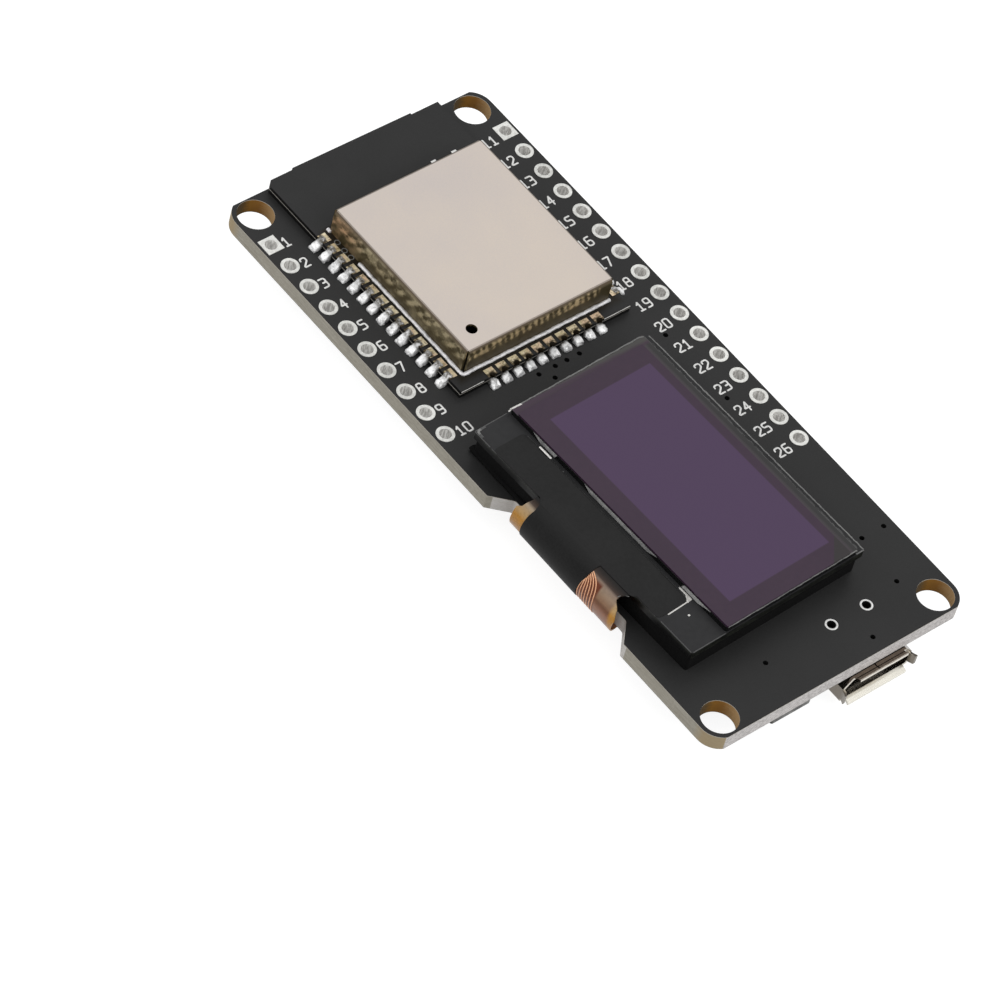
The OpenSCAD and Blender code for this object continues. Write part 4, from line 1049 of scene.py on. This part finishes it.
def thinSheet(name, points, faces, sharp, material, slotName, *replaced):
    piece = newMesh(name, points, faces)
    piece.data.shade_smooth()
    piece.data.set_sharp_from_angle(angle=math.radians(sharp))
    piece.data.materials.append(material)
    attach(piece, "board")
    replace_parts(piece, *replaced)


def bentSheet(name, rows, material, slotName, *replaced):
    last = (len(rows) - 1) * 4
    faces = [(3, 2, 1, 0), (last, last + 1, last + 2, last + 3)]
    for first in range(0, last, 4):
        for i in range(4):
            a, b = first + i, first + (i + 1) % 4
            faces.append((a, b, b + 4, a + 4))
    thinSheet(name, [p for row in rows for p in row], faces, 40, material, slotName, *replaced)


def sheetRow(outer, inner, low, high):
    return [(x, y, z) for (x, z), y in ((outer, low), (outer, high), (inner, high), (inner, low))]


def foldRows(near, far, lowTable, highTable):
    steps = foldLook["steps"]
    return [sheetRow(foldPoint(angle, far), foldPoint(angle, near),
                     outlineAt(lowTable, angle), outlineAt(highTable, angle))
            for angle in (90 - 180 * k / steps for k in range(steps + 1))]


def flexSheet(look):
    half, (lowTable, highTable) = foldLook["sheet"] / 2, (look["flexLow"], look["flexHigh"])
    high, low = foldEnds
    under = ((look["neckX"], low - half), (look["neckX"], low + half))
    rows = [sheetRow((look["bondX"], high + half), (look["bondX"], high - half), lowTable[0][1], highTable[0][1])]
    rows += foldRows(-half, half, lowTable, highTable)
    rows += [sheetRow(*under, lowTable[-1][1], highTable[-1][1]), sheetRow(*under, *look["tail"]),
             sheetRow((look["tailEnd"], low - half), (look["tailEnd"], low + half), *look["tail"])]
    bentSheet("flexSheet", rows, amberFilm, "amber_film", "flex_cable")


def tapeSheet(look):
    near, (lowTable, highTable) = foldLook["sheet"] / 2, (look["tapeLow"], look["tapeHigh"])
    far = near + foldLook["tape"]
    high, low = foldEnds
    ends = (lowTable[0][1], highTable[0][1])
    rows = []
    for inward, lift in look["overGlass"]:
        row = []
        for y, thick in ((ends[0], far), (ends[1], far), (ends[1], near), (ends[0], near)):
            edge = glassPoint(look["glassEdge"], y - displayLook["centre"][1], 0)[0]
            row.append((edge + inward, y, high + thick + lift * (thick == far)))
        rows.append(row)
    rows += foldRows(near, far, lowTable, highTable)
    rows.append(sheetRow((look["tapeUnder"], low - far), (look["tapeUnder"], low - near),
                         lowTable[-1][1], highTable[-1][1]))
    bentSheet("tapeSheet", rows, blackTape, "black_film", "flex_tape")


# the film: low at its rim, raised over the flex cable and the driver chip
filmShape = {
    "u": (-9.52, -6.12), "v": (-9.08, 10.82), "corner": 0.5, "cells": (34, 80), "rest": 4.155, "rim": 0.03,
    "lift": 0.19, "liftOver": 1.6, "liftSide": 0.25, "ridge": 0.11, "ridgeSide": 0.3, "ridgeFar": (1.3, 2.6),
    "ridgeSpan": (-6.6, 8.3), "overhang": 0.42, "overSpan": (-6.55, 5.0), "overSoft": 0.35, "ridgeSoft": 1.4,
    "droop": 0.06, "droopOver": 0.3, "underLift": 0.14, "underOver": 0.6,
}


def ease(t):
    t = min(1.0, max(0.0, t))
    return t * t * (3 - 2 * t)


# 1 within the span, easing to 0 at its ends
def eased(value, span, soft):
    return ease((value - span[0]) / soft) * ease((span[1] - value) / soft)


def filmSheet(look):
    (left, right), (low, high) = look["u"], look["v"]
    columns, rows = look["cells"]
    r, (ridgeFrom, ridgeTo) = look["corner"], look["ridgeFar"]
    top, bottom, faces = [], [], []
    grid = ((low + (high - low) * i / rows, j / columns) for i in range(rows + 1) for j in range(columns + 1))
    for v, share in grid:
        over = eased(v, look["overSpan"], look["overSoft"])
        start = left - look["overhang"] * over
        u = start + (right - start) * share
        # round the corners
        cu, cv = min(max(u, start + r), right - r), min(max(v, low + r), high - r)
        away = math.hypot(u - cu, v - cv)
        if away > r:
            u, v = cu + (u - cu) * r / away, cv + (v - cv) * r / away
        gap = right - u
        inside = ease(min(v - low, high - v) / look["liftOver"]) * ease(gap / look["liftSide"])
        ridgeAt = ease(gap / look["ridgeSide"]) * (1 - ease((gap - ridgeFrom) / (ridgeTo - ridgeFrom)))
        ridgeAt *= eased(v, look["ridgeSpan"], look["ridgeSoft"])
        droop = look["droop"] * over * ease((start + look["droopOver"] - u) / look["droopOver"])
        under = look["underLift"] * over * ease((left + look["underOver"] - u) / look["underOver"]) * (inside > 0.5)
        x, y = glassPoint(u, v, 0)[:2]
        top.append((x, y, look["rest"] + look["rim"] + look["lift"] * inside + look["ridge"] * ridgeAt - droop))
        bottom.append((x, y, look["rest"] + under))
    wide, n = columns + 1, len(top)
    for a in (i * wide + j for i in range(rows) for j in range(columns)):
        faces.append((a, a + 1, a + wide + 1, a + wide))
        faces.append((n + a, n + a + wide, n + a + wide + 1, n + a + 1))
    edge = list(range(columns)) + [i * wide + columns for i in range(rows)]
    edge += [rows * wide + j for j in range(columns, 0, -1)] + [i * wide for i in range(rows, 0, -1)]
    faces += [(b, a, n + a, n + b) for a, b in zip(edge, edge[1:] + edge[:1])]
    thinSheet("filmSheet", top + bottom, faces, 50, coverFilm, "black_film", "driver_cover")


flexSheet(sheetLook)
tapeSheet(sheetLook)
filmSheet(filmShape)

# a wavy black strip of foam along the foam's foot, out past the glass, and a painted glint along the cable's edge
footStripLook = {"width": 0.62, "step": 0.3, "waver": 0.22, "waverSize": 0.7, "flatness": 0.8, "seed": 8.0,
               "lines": [[(-11.6, 1.3, 1.72), (-11.72, 0.9, 1.72), (-11.72, -6.0, 1.72)]]}
wavy("foamFootStrip", footStripLook["lines"], footStripLook, foam)
glintLook = {"width": 0.07, "step": 0.12, "waver": 0.12, "waverSize": 0.3, "flatness": 0.5, "seed": 12.0,
               "lines": [[(-12.7, -17.62, 4.05), (-12.35, -17.75, 4.25), (-12.0, -18.15, 4.32)]]}
wavy("cableGlints", glintLook["lines"], glintLook, greyMark)


# flex cable tracks
trackLook = {
    "count": 7, "from": (32, 61), "startY": (-14.5, -14.64), "endY": (-14.22, -16.05), "settle": 17, "to": -52,
    "off": 0.068, "width": 0.1, "steps": 26, "bend": 0.1, "bendFrom": 50, "bendOver": 60,
    "finish": {"dark": (200, 138, 98), "light": (236, 182, 142), "rough": (0.3, 0.45), "metallic": 0.4, "bump": 0.2,
        "grainScale": 8.0},
}


def wireGroup():
    tree, given = newGroup("wires", {"width": 0.1}, {"finish": None})
    line = add(tree, "GeometryNodeMeshToCurve", {0: given["Geometry"]})
    return closeGroup(add(tree, "GeometryNodeRealizeInstances", {0: tubeAlong(line, given["width"] * 0.5)}), given)


wires = wireGroup()


def flexTracks(look):
    lines = []
    for share in (i / (look["count"] - 1) for i in range(look["count"])):
        start, startY, endY = (a + share * (b - a) for a, b in (look["from"], look["startY"], look["endY"]))
        line = []
        for k in range(look["steps"] + 1):
            gone = (start - look["to"]) * k / look["steps"]
            settled = 1 - math.exp(-gone / look["settle"])
            bend = look["bend"] * ease((gone - look["bendFrom"]) / look["bendOver"])
            x, z = foldPoint(start - gone, look["off"])
            line.append((x, startY + settled * (endY - startY) + bend, z))
        lines.append(line)
    values = {**look, "finish": finish("copperTracks", look["finish"])}
    grow(lineMesh("track", lines), wires, values, "flexTracks", "board")


flexTracks(trackLook)
print("flex cable laid")


# studio
studioLook = {"floorGap": 0.02, "floorSize": 3000, "floor": 0.34, "floorRough": 0.9, "lift": 0.86, "world": 0.74,
              "key": {"from": (120, -420, 420), "size": 420, "power": 0.9},
              "fill": {"from": (-420, 260, 330), "size": 360, "power": 0.5}}


# 1 where the camera, a mirror or clear stuff looks, 0 for the light that falls on things
def seenAs(tree):
    rays = {out.name: Wire(tree, out) for out in addNode(tree, "ShaderNodeLightPath").outputs}
    return rays["Is Camera Ray"] | (rays["Is Glossy Ray"] | rays["Is Transmission Ray"])


def studio(look):
    low, half = cadBox[0].z / mm - look["floorGap"], look["floorSize"] / 2
    floor = newMesh("floor", [(x * half, y * half, low) for x, y in ((-1, -1), (1, -1), (1, 1), (-1, 1))],
                    [(0, 1, 2, 3)])
    material = bpy.data.materials.new("paleFloor")
    material.use_nodes = True
    tree = material.node_tree
    shader = tree.nodes["Principled BSDF"].inputs
    shader["Base Color"].default_value = (look["floor"], look["floor"], look["floor"], 1)
    shader["Roughness"].default_value = look["floorRough"]
    shader["Specular IOR Level"].default_value = 0.1
    shader["Emission Color"].default_value = (1, 1, 1, 1)
    tree.links.new((seenAs(tree) * look["lift"]).socket, shader["Emission Strength"])
    floor.data.materials.append(material)

    world = bpy.data.worlds.new("studio")
    bpy.context.scene.world = world
    world.use_nodes = True
    ground = world.node_tree.nodes["Background"].inputs
    ground["Color"].default_value = (1, 1, 1, 1)
    shine = seenAs(world.node_tree).rise(0.0, 1.0, look["world"], 1.0)
    world.node_tree.links.new(shine.socket, ground["Strength"])

    for name in ("key", "fill"):
        light = bpy.data.lights.new(name + "Lamp", "AREA")
        light.size, light.energy = look[name]["size"] * mm, look[name]["power"]
        lamp = newObject(name + "Lamp", light)
        lamp.location = [c * mm for c in look[name]["from"]]
        lamp.rotation_euler = (-Vector(look[name]["from"])).to_track_quat("-Z", "Y").to_euler()
    bpy.context.scene.view_settings.view_transform = "Standard"


studio(studioLook)
print("studio set")
